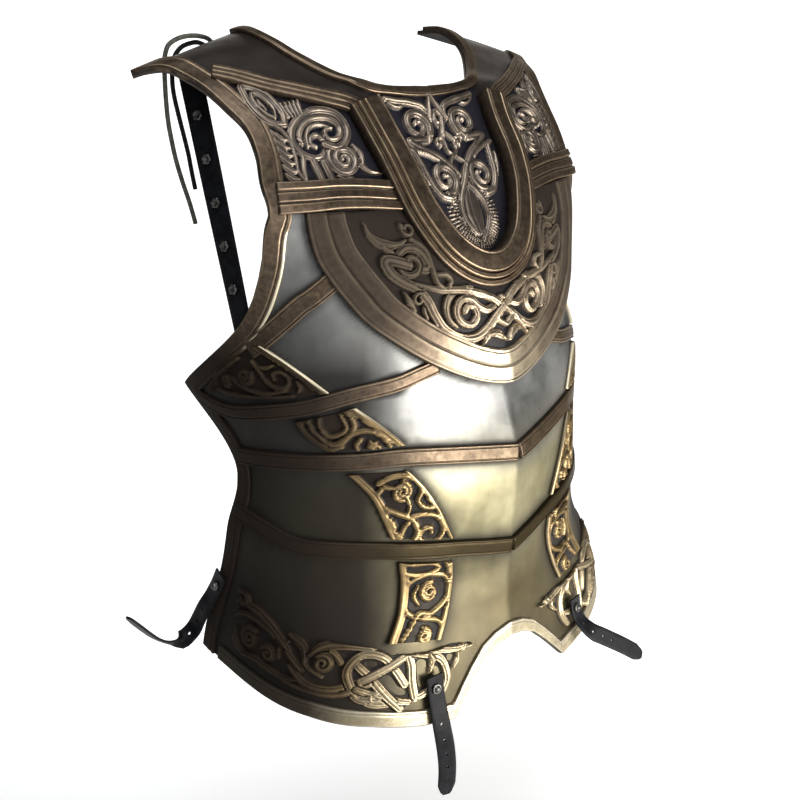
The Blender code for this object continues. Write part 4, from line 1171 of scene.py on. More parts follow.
# Name, route run on under its neighbours, width and height in millimetres
STEEL_STRAPS = (
    ("waist_strap_upper", (*WAIST_STRAP_UPPER, (91, -0.581)), 15, 4.2),
    ("waist_strap_lower", (*WAIST_STRAP_LOWER, (91, -0.668)), 15, 4.2),
    (
        "chest_strap_upper",
        ((80.5, -0.412), (77, -0.397), *CHEST_STRAP_UPPER, (56, -0.304), (52, -0.288)),
        17,
        3.4,
    ),
    (
        "chest_strap_lower",
        ((105, -0.507), (98, -0.512), (90, -0.511), *CHEST_STRAP_LOWER, (35, -0.448), (28, -0.440)),
        13,
        3.4,
    ),
)
# The steel straps' fine lines lie this far in from their edges, in millimetres
STRAP_LINE_INSET = 2.4
# How far the neck rim's middle lies down from the neckline, in millimetres
NECK_RIM_INSET = 5.1


def make_bands():
    """The rim round the neck, the deep neck band, the shoulders' bars and mouldings and the steel straps."""
    first = sum(SKIN_ROWS) + NECKLINE_ROW * SKIN_ROWS_PER_PLACE
    half = smooth_line([Vector(point) for point in skin.grid[first::5, 0]], 60)
    whole = [Vector((-p.x, p.y, p.z)) for p in reversed(half)] + half[1:]
    route = smooth_line(whole, ring_count(whole, 2.2))
    across, rise = rounded_profile(9.6, 4.0, ((2.8, 0.6, 0.5),), lip=1.2)
    add_band("neck_rim", route, (across + NECK_RIM_INSET, rise), False)

    middle = [from_above(*place)[0] for place in U_BAND_ROUTE]
    whole = [Vector((-p.x, p.y, p.z)) for p in middle] + middle[-2::-1]
    route = smooth_line(whole, ring_count(whole))
    grooves = ((9.0, 3.4, 0.85), (3.4, 3.8, 0.85), (-11.6, 0.8, 0.5))
    profile = rounded_profile(29, 14.3, grooves, lip=1.6, steps=((8.8, -2.0), (3.0, -1.0)))
    add_band("neck_u_band", route, profile, False)

    bar = [above_bib(*place) for place in ((0.400, 0.530), *BAR_ROUTE, (0.930, 0.760))]
    profile = rounded_profile(
        24,
        7.8,
        ((-4.2, 1.6, 0.9), (4.4, 1.6, 0.9)),
        lip=1.3,
        steps=((-4.2, -1.2), (4.4, 1.0)),
    )
    add_band("shoulder_bar", smooth_line(bar, ring_count(bar)), profile, True)
    slant = [from_above(*place)[0] for place in ((0.430, -0.165), *SLANT_ROUTE, (0.960, -0.064))]
    profile = rounded_profile(15, 6.6, ((-2.4, 1.5, 0.8), (2.6, 1.5, 0.8)), lip=1.4)
    add_band("shoulder_moulding", smooth_line(slant, ring_count(slant)), profile, True)

    for name, places, width, height in STEEL_STRAPS:
        line = [on_trunk(*place) for place in places]
        line_place = width / 2 - STRAP_LINE_INSET
        profile = rounded_profile(width, height, ((-line_place, 0.7, 0.5), (line_place, 0.7, 0.5)), lip=1.3)
        add_band(name, smooth_line(line, ring_count(line)), profile, True)


def mirror_x(points):
    return [(-x, y) for x, y in points]


def both(strokes):
    """Strokes and their mirror images about the keel."""
    return [*strokes, *((stroke[0], mirror_x(stroke[1]), *stroke[2:]) for stroke in strokes)]


def neck_strokes():
    """The neck panel's weave: two pairs of spirals, crossing ribbons and a fringed pendant leaf."""
    upper = coil((27.5, -119), 2.5, 14.5, 60, 1.55)
    lower = coil((22, -169), 2.5, 14, 100, 1.5)
    strokes = [
        (
            (1.6, 2.6, 3.2, 3.2, 3.0, 2.8, 2.6, 2.2),
            [
                *upper, (43, -133), (34, -141), (20, -150), (8, -162), (0, -172), (-8, -182), (-14, -192),
                (-15, -205), (-8, -216), (0, -223),
            ],
        ),
        (
            (1.6, 2.6, 3.0, 2.8, 2.4, 2.0),
            [*lower, (20, -186), (31, -183), (39, -171), (42, -156), (45, -143), (50, -140)],
        ),
        (
            (2.2, 2.6, 2.6, 2.2, 1.6),
            [(51, -93), (38, -96), (26, -98), (14, -102), (6, -112), (0, -124), (-6, -134), (-12, -140)],
        ),
        ((0.9, 1.8, 2.0, 1.6), [(0, -91), (6, -104), (13, -119), (22, -134)]),
        (
            (0.8, 1.1, 1.4, 1.5, 1.0),
            [*coil((10.5, -137), 1.6, 5.2, 200, 1.0), (5, -145), (-4, -152), (-10, -158)],
        ),
        ((1.6, 2.0, 1.4), [(46, -141), (32, -146), (22, -153)]),
        ((0.9, 1.3, 0.9), [(30, -96), (36, -101), (44, -101), (50, -97)]),
        ((0.8, 1.6, 0.8), [(49, -150), (46, -162), (42, -172)]),
    ]
    strokes = both(strokes)
    strokes.append(((1.2, 6.5, 7.5, 5.0, 0.8), [(0, -180), (0, -193), (0, -205), (0, -215), (0, -223)], 0.8))
    strokes.append(((1.3, 1.5, 1.3), [(0, -106), (4.5, -113), (0, -120)]))
    strokes.append(((1.3, 1.5, 1.3), [(0, -106), (-4.5, -113), (0, -120)]))
    for k in range(38):
        turn = math.radians(-205 + 230 * k / 37)
        near = (17.5 * math.cos(turn), -199 + 23 * math.sin(turn))
        far = (29 * math.cos(turn), -199 + 33 * math.sin(turn))
        middle = ((near[0] + far[0]) / 2, (near[1] + far[1]) / 2)
        strokes.append(((0.6, 0.82, 0.78, 0.4), [near, middle, far], 0.7))
    return strokes


# The neck panel's half width and place along the slope, in millimetres
NECK_PANEL_ROWS = (
    (64, -86), (62.5, -98), (61, -112), (59, -130), (57, -150), (54, -170),
    (49.5, -188), (43, -202), (34, -216), (23, -227), (10, -233.5), (1, -235.5),
)


def make_neck_panel():
    """The carved panel inside the neck band."""
    table = [(-half, along, half, along) for half, along in NECK_PANEL_ROWS]
    x, along = region_grid(table, 0.62)
    field = carve(x, along, neck_strokes(), 4.3)
    height = 0.5 + field
    places, normals = slope_chart(x, along)
    layers = wear_and_shade_of(height, 2, 5, field)
    add_sheet("neck_panel", places, normals, height, layers, YOKE, ["neck_panel"])


def shoulder_strokes():
    """The shoulder's carving: a fringed almond, a feathered leaf, a ringed knot and a spiral."""
    almond = [
        (150, -100), (159, -97), (166, -90), (169.5, -78), (169.5, -66), (168, -58), (160, -62),
        (153, -70), (149.5, -80), (148, -91), (150, -99),
    ]
    inner = [
        (156, -93), (161, -88), (164.5, -80), (165, -72), (163, -67), (158.5, -70), (155, -77),
        (153.5, -85), (155, -92),
    ]
    ring = [
        (124, -123), (116, -127), (107, -125), (100.5, -118), (99.5, -109), (104, -100), (113, -95),
        (124, -93.5), (136, -97),
        (146, -104), (150, -113), (148, -123), (141, -130), (132, -132), (125, -127), (124, -120),
        (128, -114), (134, -115), (136, -120), (132.5, -123),
    ]
    second = [
        (143, -118), (142, -110), (135, -103), (125, -100), (114, -102), (106.5, -108), (106, -115),
        (112, -120), (119, -118.5), (120, -112.5), (115, -110),
    ]
    third = [(139, -121), (137, -113), (131, -106.5), (122, -106), (113, -111)]
    spine = [(159, -98), (154, -106), (151.5, -116), (152.5, -128), (154, -138), (151, -147)]
    strokes = [
        ((2.2, 2.4, 2.2), almond),
        ((1.2, 1.7, 1.2), inner),
        ((0.8, 1.6, 0.8), [(159.5, -84), (161.5, -78), (162, -73)]),
        ((2.5, 2.8, 2.8, 2.2, 1.6), ring),
        ((1.8, 2.2, 2.2, 1.4), second),
        ((1.4, 1.7, 1.0), third),
        ((1.4, 1.5, 1.2), spine),
        ((1.5, 1.7, 1.4), [(150, -119), (146.5, -128), (149, -138), (150, -148)]),
        ((2.4, 2.5, 2.4), [(139, -131), (138.5, -140), (137, -152)]),
        ((2.4, 2.5, 2.4), [(131, -136), (130.5, -143), (129, -153)]),
        ((1.0, 2.2, 1.0), [(101, -128), (97, -137), (99, -146)]),
        ((2.6, 2.7, 2.4, 1.5), coil((113, -138), 14, 1.6, 60, -2.15)),
        ((2.2, 1.5, 0.5), [(101, -146), (97, -151), (92, -154), (84, -156.5)]),
        ((1.0, 1.8, 0.6), [(124, -150), (118, -154), (110, -154)]),
    ]
    for k in range(5):
        base, tip = 145 - 3 * k, 146 - 3.9 * k
        strokes.append(((1.0, 1.7, 1.6, 0.6), [(base, -95), ((base + tip) / 2 + 0.6, -88), (tip, -80)]))
    for k in range(6):
        strokes.append(
            ((0.8, 2.4, 2.2, 0.9), [(154, -113 - 6.4 * k), (159, -110 - 6.6 * k), (164.5, -102 - 7 * k)])
        )
    return strokes


# The shoulder's field: its upper edge's place and its lower edge's, in millimetres across and along the slope
SHOULDER_FIELD_ROWS = (
    (184, -46, 176, -146), (178, -47, 168, -149), (168, -50, 158, -151), (158, -55, 148, -152),
    (144, -64, 134, -154),
    (130, -74, 120, -156), (114, -84, 104, -158), (100, -94, 90, -160), (88, -102, 76, -161),
)


def make_shoulder_reliefs():
    """The carved fields of the shoulders, between the slanted moulding, the bar and the neck band."""
    x, along = region_grid(SHOULDER_FIELD_ROWS, 0.58)
    field = carve(x, along, shoulder_strokes(), 3.9)
    height = 0.4 + field
    places, normals = slope_chart(x, along)
    layers = wear_and_shade_of(height, 2, 5, field)
    add_pair("shoulder_relief", places, normals, height, layers, YOKE)


# The bib in millimetres: its length, its depth, its rim's step from its edge and its field's height
BIB_GIRTH = 366
BIB_DEPTH = 66
BIB_STEP = 15.5
BIB_FIELD_HEIGHT = 6.2
# Degrees that the bib reaches to each side from the keel
BIB_TURN = 93


def bib_strokes():
    """The bib's leafwork: horned leaves and spirals on each side, woven rings about the keel."""
    first = coil((85, -175), 3, 14, 40, 1.45)
    strokes = [
        (
            (0.6, 2.0, 3.4, 3.6, 2.0, 0.8),
            [(116, -140), (114, -149), (108, -156), (99, -159.5), (90, -159.5), (84, -157)],
        ),
        (
            (0.9, 1.3, 1.8, 2.1, 1.5),
            [*coil((80, -149), 1.7, 6, 0, 1.1), (79, -157), (70, -166), (67, -180), (64, -192), (58, -198)],
        ),
        (
            (1.6, 2.6, 3.4, 3.6, 3.4, 3.2, 3.0, 2.4),
            [
                *first, (103, -170), (102, -180), (93, -188), (82, -195), (75, -205), (70, -217),
                (64, -228), (54, -236), (43, -240), (32, -240), (20, -235), (8, -226), (-4, -217),
                (-14, -210), (-24, -205),
            ],
        ),
        (
            (2.4, 2.8, 2.4, 2.0),
            [
                (0, -213), (8, -217), (18, -220), (27, -216), (35, -209), (43, -208), (49, -214),
                (49, -222), (43, -228), (35, -229), (30, -223), (32, -216), (38, -214), (42, -218),
            ],
        ),
        (
            (1.2, 2.4, 2.6, 2.4),
            [(84, -190), (74, -194), (62, -198), (50, -199.5), (36, -202), (22, -207), (10, -213)],
        ),
        ((2.2, 2.5, 2.2, 1.4), [(33, -200.5), (45, -200), (54, -204), (59, -212), (58, -222), (52, -229)]),
        ((0.8, 1.2, 1.6, 0.9), [*coil((82, -203), 1.7, 6, 180, 1.0), (79, -212), (77, -219)]),
        ((1.4, 1.9, 1.2), [(63, -186), (55, -187), (51, -192), (54, -197)]),
        ((1.8, 2.2, 1.8), [(0, -221), (9, -228), (0, -235)]),
        ((0.9, 3.0, 2.6, 0.8), [(0, -248), (10, -241), (20, -240), (27, -247)]),
        ((0.8, 2.0, 0.8), [(12, -231), (17, -236), (23, -243)]),
        ((0.8, 2.4, 0.8), [(94, -196), (90, -204), (86, -212)]),
        ((0.8, 2.2, 0.8), [(106, -158), (101, -163), (97, -165)]),
    ]
    return both(strokes)


def make_bib():
    """The crescent bib: a wide stepped rim about a field of leafwork."""
    centre = BIB_CENTRE * HEIGHT / MM
    turns, reaches = zip(*BIB_OUTLINE)
    band = [from_above(*place)[0] for place in U_BAND_ROUTE]
    band_turns = [math.degrees(math.atan2(p.x, BIB_CENTRE * HEIGHT - p.z)) for p in band][::-1]
    band_reaches = [math.hypot(p.x, BIB_CENTRE * HEIGHT - p.z) / MM for p in band][::-1]
    usable = [k for k, turn in enumerate(band_turns) if turn < 100]
    turn = np.linspace(-BIB_TURN, BIB_TURN, whole_steps(BIB_GIRTH, 0.66))
    both_turns, both_reaches = (*(-a for a in turns[:0:-1]), *turns), (*reaches[:0:-1], *reaches)
    outer = through(both_turns, both_reaches, turn) * HALF_WIDTH / MM
    inner = np.interp(np.abs(turn), [band_turns[k] for k in usable], [band_reaches[k] for k in usable]) + 9
    share = np.linspace(0, 1, whole_steps(BIB_DEPTH, 0.62))
    reach = inner[:, None] + (outer - inner)[:, None] * share
    bearing = np.radians(turn)[:, None]
    x, level = np.sin(bearing) * reach, centre - np.cos(bearing) * reach
    width = BIB_RIM_WIDTH / MM
    inset = outer[:, None] - reach
    on_rim = np.clip((width - inset) / 0.9 + 0.5, 0, 1)
    rim = 10.4 + 1.6 * np.clip((BIB_STEP - inset) / 0.6, 0, 1)
    for place, depth, half in ((BIB_STEP, 1.4, 0.8), (width - 2.6, 0.9, 0.5), (3.0, 0.9, 0.55)):
        rim -= groove(inset, place, depth, half)
    rim -= lip_drop(inset, 1.5)
    ends = np.clip((BIB_TURN - np.abs(turn)) / 34, 0, 1)[:, None] ** 0.7
    field = carve(x, level, bib_strokes(), 5.6) * (1 - on_rim)
    height = (BIB_FIELD_HEIGHT + field) * (1 - on_rim) + rim * on_rim
    height = height * (0.50 + 0.50 * ends)
    places, normals = front_chart(x, level)
    wear_and_shade = wear_and_shade_of(height, 2, 6, field + 3 * on_rim)
    # Painted shade where the bib turns away to each side, and a painted highlight low on its rim
    turned_away = np.clip((np.abs(turn) - 18) / 38, 0, 1)[:, None] * np.ones_like(height)
    painted_highlight = 0.55 * on_rim * np.clip(1 - np.abs(turn) / 34, 0, 1)[:, None]
    layers = {
        "edge": np.maximum(wear_and_shade["edge"], painted_highlight),
        "hollow": wear_and_shade["hollow"] * (1 - 0.35 * on_rim),
        "shade": 0.84 * turned_away,
        "gleam": 0.45 * painted_highlight,
    }
    add_sheet("bib", places, normals, height, layers, COLLAR, ["bib", "bib_relief"])


# Strokes: widths along them in millimetres, and points in degrees about the trunk and levels in millimetres
PANEL_STROKES = (
    (
        (
            (1.4, 1.6, 1.2),
            [
                (79.5, -252), (77, -260), (75, -267), (72, -271), (69.5, -268), (69.5, -262), (71.5, -258),
                (73.5, -260), (73, -264),
            ],
        ),
        ((1.2, 1.5, 1.0), [(70, -272), (76, -277), (83, -274), (86, -270)]),
        ((0.8, 1.4, 0.8), [(78, -256), (75.5, -256), (73.5, -253)]),
        ((0.8, 1.6, 0.8), [(67.5, -264), (66.5, -269), (67, -273)]),
        ((1.2, 1.5, 1.0), [(84, -252), (88, -262), (92, -272), (93, -281)]),
        ((1.0, 1.4, 1.0), [(92, -284), (84, -283), (76, -280), (68, -276)]),
    ),
    (
        (
            (1.8, 2.2, 1.8),
            [
                (58, -281), (55, -290), (54, -300), (56, -309), (60, -316), (63, -310), (65, -298),
                (64.5, -288), (61, -281),
            ],
        ),
        (
            (1.2, 1.6, 1.2),
            [(57, -291), (56, -301), (58, -307), (61, -308), (62.5, -300), (62, -290), (60, -287)],
        ),
        (
            (1.8, 2.0, 1.6),
            [
                (58, -315), (55, -307), (51, -305), (47.5, -310), (45.5, -320), (46.5, -329), (49.5, -333),
                (53, -328), (54.5, -318), (53, -312),
            ],
        ),
        ((1.4, 1.8, 1.2), [(66.5, -295), (67, -305), (66, -315), (62, -320), (58, -318)]),
        ((0.8, 2.0, 0.8), [(56, -326), (58, -331), (60, -325)]),
        ((1.0, 1.8, 0.8), [(53, -289), (51, -297), (49, -303)]),
        ((0.9, 1.6, 0.9), [(50, -326), (50.5, -320), (49, -315)]),
    ),
    (
        (
            (1.8, 2.2, 1.8),
            [
                (50, -352), (46, -347), (42, -347), (38, -353), (37, -362), (38, -370), (36, -377),
                (33, -379),
            ],
        ),
        (
            (2.0, 2.2, 2.0),
            [
                (49, -357), (50.5, -365), (48, -374), (44, -380), (40, -386), (38, -393), (37.5, -400),
                (39, -408), (41.5, -410), (42.5, -402), (41.5, -393), (40.5, -390),
            ],
        ),
        (
            (1.8, 2.2, 1.6),
            [
                (40, -385), (36, -384), (32, -387), (29.5, -395), (29, -404), (31, -411), (34, -412),
                (36.5, -406), (36, -399), (33.5, -397), (33, -402),
            ],
        ),
        ((0.9, 1.9, 0.9), [(36, -362), (34.5, -370), (33, -377)]),
        ((0.9, 1.8, 0.9), [(50, -352), (47.5, -356), (45, -357)]),
        ((1.0, 1.4, 1.0), [(42, -365), (40.5, -374), (41, -382)]),
        ((0.8, 1.8, 0.8), [(46, -384), (44.5, -392), (45, -400)]),
        ((0.8, 1.7, 0.8), [(53, -355), (52, -366), (50.5, -374)]),
    ),
    (
        (
            (1.8, 2.2, 1.8),
            [
                (34, -442), (28, -448), (26.5, -460), (28, -472), (33, -480), (37, -478), (40, -490),
                (42, -497),
            ],
        ),
        (
            (1.8, 2.2, 1.8),
            [
                (34, -442), (39, -446), (42, -456), (42, -466), (40, -476), (36.5, -482), (31, -488),
                (29, -497),
            ],
        ),
        ((0.9, 1.8, 0.9), [(37, -452), (38.5, -460), (37, -470)]),
        (
            (1.6, 1.9, 1.6),
            [
                (39, -430), (33, -432), (30, -438), (33, -442), (38, -441), (43, -434), (41, -429),
                (37, -430),
            ],
        ),
        ((0.9, 1.7, 0.9), [(28.5, -430), (27, -438), (26.5, -447)]),
        ((0.9, 1.7, 0.9), [(44.5, -440), (45, -450), (44.5, -460)]),
        ((0.9, 1.7, 0.9), [(45, -470), (44, -480), (45, -490)]),
    ),
)
# Spirals: centre, outer and inner radius in millimetres, start in degrees, and turns
PANEL_COILS = (
    (((81.5, -266), 7, 1.2, 150, 1.6), ((88, -275), 5, 1.2, 20, 1.4)),
    (((49.5, -321), 6, 1.2, 60, -1.5),),
    (((43.2, -361), 9.5, 1.6, 100, 1.9), ((44, -401), 3, 1, 0, 1)),
    (((33.5, -460), 9.5, 1.8, 110, -1.8), ((35.5, -499), 7, 1.6, 90, 1.6)),
)
# Widths of each panel's outer and inner border in millimetres, and how strong the painted highlight on its
# inner edge is
PANEL_BORDERS = ((3.0, 8.0, 0.9), (6.0, 8.0, 0.9), (8.0, 4.5, 0.2), (8.0, 4.5, 0.2))
# Millimetres about the trunk that one degree of its chart is drawn as
DEGREE = 3.2


def girth_strokes(drawn, coils, coil_widths):
    """Strokes and spirals drawn in degrees about the trunk and levels, turned into millimetres."""
    strokes = [(widths, [(a * DEGREE, b) for a, b in points], *rest) for widths, points, *rest in drawn]
    for centre, outer, inner, start, turns in coils:
        strokes.append((coil_widths, coil((centre[0] * DEGREE, centre[1]), outer, inner, start, turns)))
    return strokes


def make_scroll_panels():
    """The bordered panels of interlace that step down from the armpit to the hem."""
    for number, (rows, drawn, coils) in enumerate(zip(SCROLL_PANELS, PANEL_STROKES, PANEL_COILS), start=1):
        table = [(a, b * HEIGHT / MM, c, d * HEIGHT / MM) for a, b, c, d in rows]
        angle, level = region_grid(table, 0.6)
        left_a, left_b, right_a, right_b = np.array(table).T
        span = np.hypot((right_a - left_a) * DEGREE, right_b - left_b)
        place = np.linspace(0, len(rows) - 1, angle.shape[0])
        width = through(range(len(rows)), span, place)[:, None]
        share = np.linspace(0, 1, angle.shape[1])[None, :]
        outer_width, inner_width, painted_highlight = PANEL_BORDERS[number - 1]
        from_outer, from_inner = share * width, (1 - share) * width
        on_border = (from_outer < outer_width) | (from_inner < inner_width)
        strokes = girth_strokes(drawn, coils, (1.9, 2.0, 1.3))
        field = 0.9 + carve(angle * DEGREE, level, strokes, 3.6)
        height = np.where(on_border, 4.0, np.minimum(field, 4.3))
        for side_inset, line in ((from_outer, outer_width - 2.2), (from_inner, inner_width - 2.0)):
            height = height - groove(side_inset, line, 0.9, 0.5) * on_border
        height = height - lip_drop(np.minimum(from_outer, from_inner), 1.2)
        places, normals = girth_chart(angle, level)
        layers = wear_and_shade_of(height, 2, 5, np.where(on_border, 3, field - 0.9))
        # A painted highlight along the inner border's edge
        layers["gleam"] = painted_highlight * np.clip((1.7 - from_inner) / 0.4, 0, 1)
        add_pair(f"scroll_panel_{number}", places, normals, height, layers, RELIEF)


HEM_RELIEF_TOP = (
    (20, -0.892), (25, -0.884), (33, -0.882), (41, -0.874), (50, -0.853),
    (58, -0.843), (65, -0.836), (72, -0.822), (80, -0.808), (86, -0.800),
)


# The border's reach as a share of the way to the side edge, and its edges above the hem in millimetres
HEM_BORDER_REACH = 0.93
HEM_BORDER_EDGES = (0.3, 14.3)
HEM_COILS = (
    ((81.8, -505), 9.5, 1.8, 120, -1.8), ((75.4, -511), 6.5, 1.6, 30, 1.3), ((61.3, -509), 7.5, 1.6, 60, 1.5),
    ((48.5, -540), 4.5, 1.4, 200, 1.1), ((22, -521), 4, 1.4, 90, 1.0),
)


def hem_strokes():
    """The knot of flat ribbons at the hem's rivet, and the leafy wave that runs from it to the side."""
    strokes = [
        ((2.6, 3.0, 2.6), [(30, -558), (28, -545), (29, -530), (32, -520), (37, -513), (42, -505)]),
        ((2.8, 3.0, 2.6), [(38, -551), (39, -535), (39.5, -520), (41, -508), (44, -502)]),
        ((2.6, 3.0, 2.6), [(42, -556), (46, -540), (50, -523), (53, -512)]),
        (
            (2.6, 3.0, 2.4),
            [(41, -512), (46, -518), (51, -524), (55, -529), (60, -531), (65, -527), (69, -515)],
        ),
        (
            (2.6, 3.0, 2.6),
            [
                (41, -536), (44, -520), (47, -508), (51, -503), (54, -507), (55.5, -517), (54, -530),
                (52, -540), (47, -545), (42, -553),
            ],
        ),
        ((2.2, 2.6, 2.0), [(40, -552), (43, -548), (49, -538), (53, -531)]),
        ((1.6, 3.8, 4.2, 3.0, 0.8), [(87, -475), (79.5, -481), (74, -491), (70, -502), (67.8, -512)], 0.86),
        ((1.2, 3.2, 2.8, 0.9), [(70, -489), (66.5, -496), (65.4, -505), (66, -513)], 0.86),
        (
            (1.6, 3.4, 3.8, 2.8, 0.6),
            [(64.5, -503), (61.5, -495), (56, -493.5), (51, -497), (45.5, -499)],
            0.9,
        ),
        ((2.2, 2.6, 2.4, 2.0), [(66, -516), (70.5, -503), (75.5, -491), (81, -486), (86, -488), (89, -497)]),
        ((2.0, 2.4, 2.0, 1.2), [(57, -508), (59, -500), (62, -497), (65, -503), (65, -512), (61, -520)]),
        ((3.0, 2.4, 0.9), [(38, -513), (32, -515), (27, -520), (22, -523), (18, -524)]),
        (
            (1.6, 2.2, 2.4, 2.2, 1.4),
            [(89, -499), (87.5, -513), (84, -522), (80, -521), (76, -523), (71, -527), (66, -525)],
        ),
        ((1.0, 1.8, 2.2, 2.0), [(70, -529), (64, -533), (57, -535), (50, -529)]),
        ((1.0, 2.6, 2.6, 1.0), [(53, -538), (49, -546), (45, -549), (41, -550)]),
        ((0.9, 2.2, 2.4, 1.0), [(89, -467), (85, -470), (84, -476), (87, -480)]),
        ((1.0, 2.2, 1.0), [(70, -495), (72, -503), (72, -511)]),
        ((1.0, 2.4, 1.0), [(88, -478), (84, -477), (79, -480)]),
        ((1.0, 2.4, 0.8), [(34, -516), (33, -524), (34, -533)]),
        ((0.8, 2.2, 0.8), [(24, -524), (24, -531), (26, -538)]),
        ((2.0, 2.6, 2.0), [(28, -545), (33, -549), (40, -552)]),
    ]
    return girth_strokes(strokes, HEM_COILS, (2.2, 2.3, 1.3))


def hem_level(angle, rise):
    """Level in millimetres a given height above the hem, at an angle in degrees."""
    places, levels = zip(*HEM)
    level = np.full(np.shape(angle), -0.95 * HEIGHT)
    for _ in range(3):
        across = np.abs(np.radians(angle)) / side_angle(level)
        level = np.interp(across, places, levels) * HEIGHT + rise * MM
    return level / MM


def make_hem():
    """The plain border along the hem, and the leafwork that stands on the plates above it."""
    places, levels = zip(*HEM)
    low_edge, high_edge = HEM_BORDER_EDGES
    across = np.linspace(-HEM_BORDER_REACH, HEM_BORDER_REACH, whole_steps(560, 1.3))
    rise = np.linspace(low_edge, high_edge, whole_steps(high_edge - low_edge, 0.7))
    level = np.interp(np.abs(across), places, levels)[:, None] * HEIGHT + rise[None, :] * MM
    angle = across[:, None] * side_angle(level)
    spots, normals = girth_chart(np.degrees(angle), level / MM)
    inset = np.minimum(rise - rise[0], rise[-1] - rise)
    profile = 3.0 - lip_drop(inset, 1.0) - groove(rise, 11.2, 0.7, 0.55)
    height = np.tile(profile, (len(across), 1))
    layers = wear_and_shade_of(height, 1, 4)
    add_sheet(
        "hem_border", spots, normals, height, layers, BRIGHT, ["hem_border"],
        floor=RIM_SINK,
    )

    angles = np.linspace(17, 88, whole_steps(71 * DEGREE, 0.66))
    top_angles, tops = zip(*HEM_RELIEF_TOP)
    top = through(top_angles, tops, np.clip(angles, top_angles[0], top_angles[-1])) * HEIGHT / MM + 5
    low = hem_level(angles, 13.0)
    share = np.linspace(0, 1, whole_steps(78, 0.66))
    level = low[:, None] + (top - low)[:, None] * share
    angle = np.repeat(angles[:, None], len(share), axis=1)
    relief = carve(angle * DEGREE, level, hem_strokes(), 4.6)
    cover = blurred((relief > 0.3).astype(float), 5)
    height = np.where(relief > 0.05, relief, np.clip((cover - 0.30) * 6, -0.9, 0.45))
    spots, normals = girth_chart(angle, level)
    layers = wear_and_shade_of(np.maximum(height, 0), 2, 6, relief)
    # A painted highlight on the knot's raised ribbons towards the front
    layers["gleam"] = 0.26 * np.clip((56 - angle) / 14, 0, 1) * np.clip(relief - 1.6, 0, 1)
    add_pair("hem_relief", spots, normals, height, layers, RELIEF)


def turned(name, seat, normal, profile, material, petals=0, swell=0.0):
    """A closed head turned about its axis, from (radius, height) pairs in millimetres, centre first."""
    steps = 32
    turn = normal.to_track_quat("Z", "Y").to_matrix()
    points = [seat + turn @ Vector((0, 0, profile[0][1] * MM))]
    for radius, height in profile[1:]:
        for k in range(steps):
            bearing = 2 * math.pi * k / steps
            lobe = 1 + swell * math.cos(petals * bearing) * (radius > 1.3)
            offset = Vector(
                (math.cos(bearing) * radius * lobe, math.sin(bearing) * radius * lobe, height)
            ) * MM
            points.append(seat + turn @ offset)
    faces = [(0, 1 + k, 1 + (k + 1) % steps) for k in range(steps)]
    for ring in range(len(profile) - 2):
        a, b = 1 + ring * steps, 1 + (ring + 1) * steps
        faces += [(a + k, b + k, b + (k + 1) % steps, a + (k + 1) % steps) for k in range(steps)]
    last = 1 + (len(profile) - 2) * steps
    faces.append([last + k for k in range(steps)][::-1])
    return make_piece(name, points, faces, {}, material, [name])


RIVET_PROFILE = (
    (0, 3.5), (1.2, 3.4), (2.2, 3.0), (2.9, 2.3), (3.2, 1.5), (3.35, 1.25), (3.9, 1.45), (4.5, 1.25),
    (4.8, 0.7), (4.8, -0.6),
)
STUD_PROFILE = (
    (0, 1.0), (0.8, 1.1), (1.2, 1.7), (1.7, 1.4), (1.9, 1.5), (2.9, 2.4), (3.8, 2.1), (4.4, 1.2),
    (4.6, 0.4), (4.6, -0.6),
)


def strap_frames(route, facings):
    """Place, sideways and outward directions along a strap."""
    frames = []
    for k, place in enumerate(route):
        heading = (route[min(k + 1, len(route) - 1)] - route[max(k - 1, 0)]).normalized()
        sideways = heading.cross(facings[k]).normalized()
        frames.append((place, sideways, sideways.cross(heading).normalized()))
    return frames


# Punched holes in millimetres, with the flat part about each
HOLE_RADIUS = 1.5
HOLE_MARGIN = 1.2


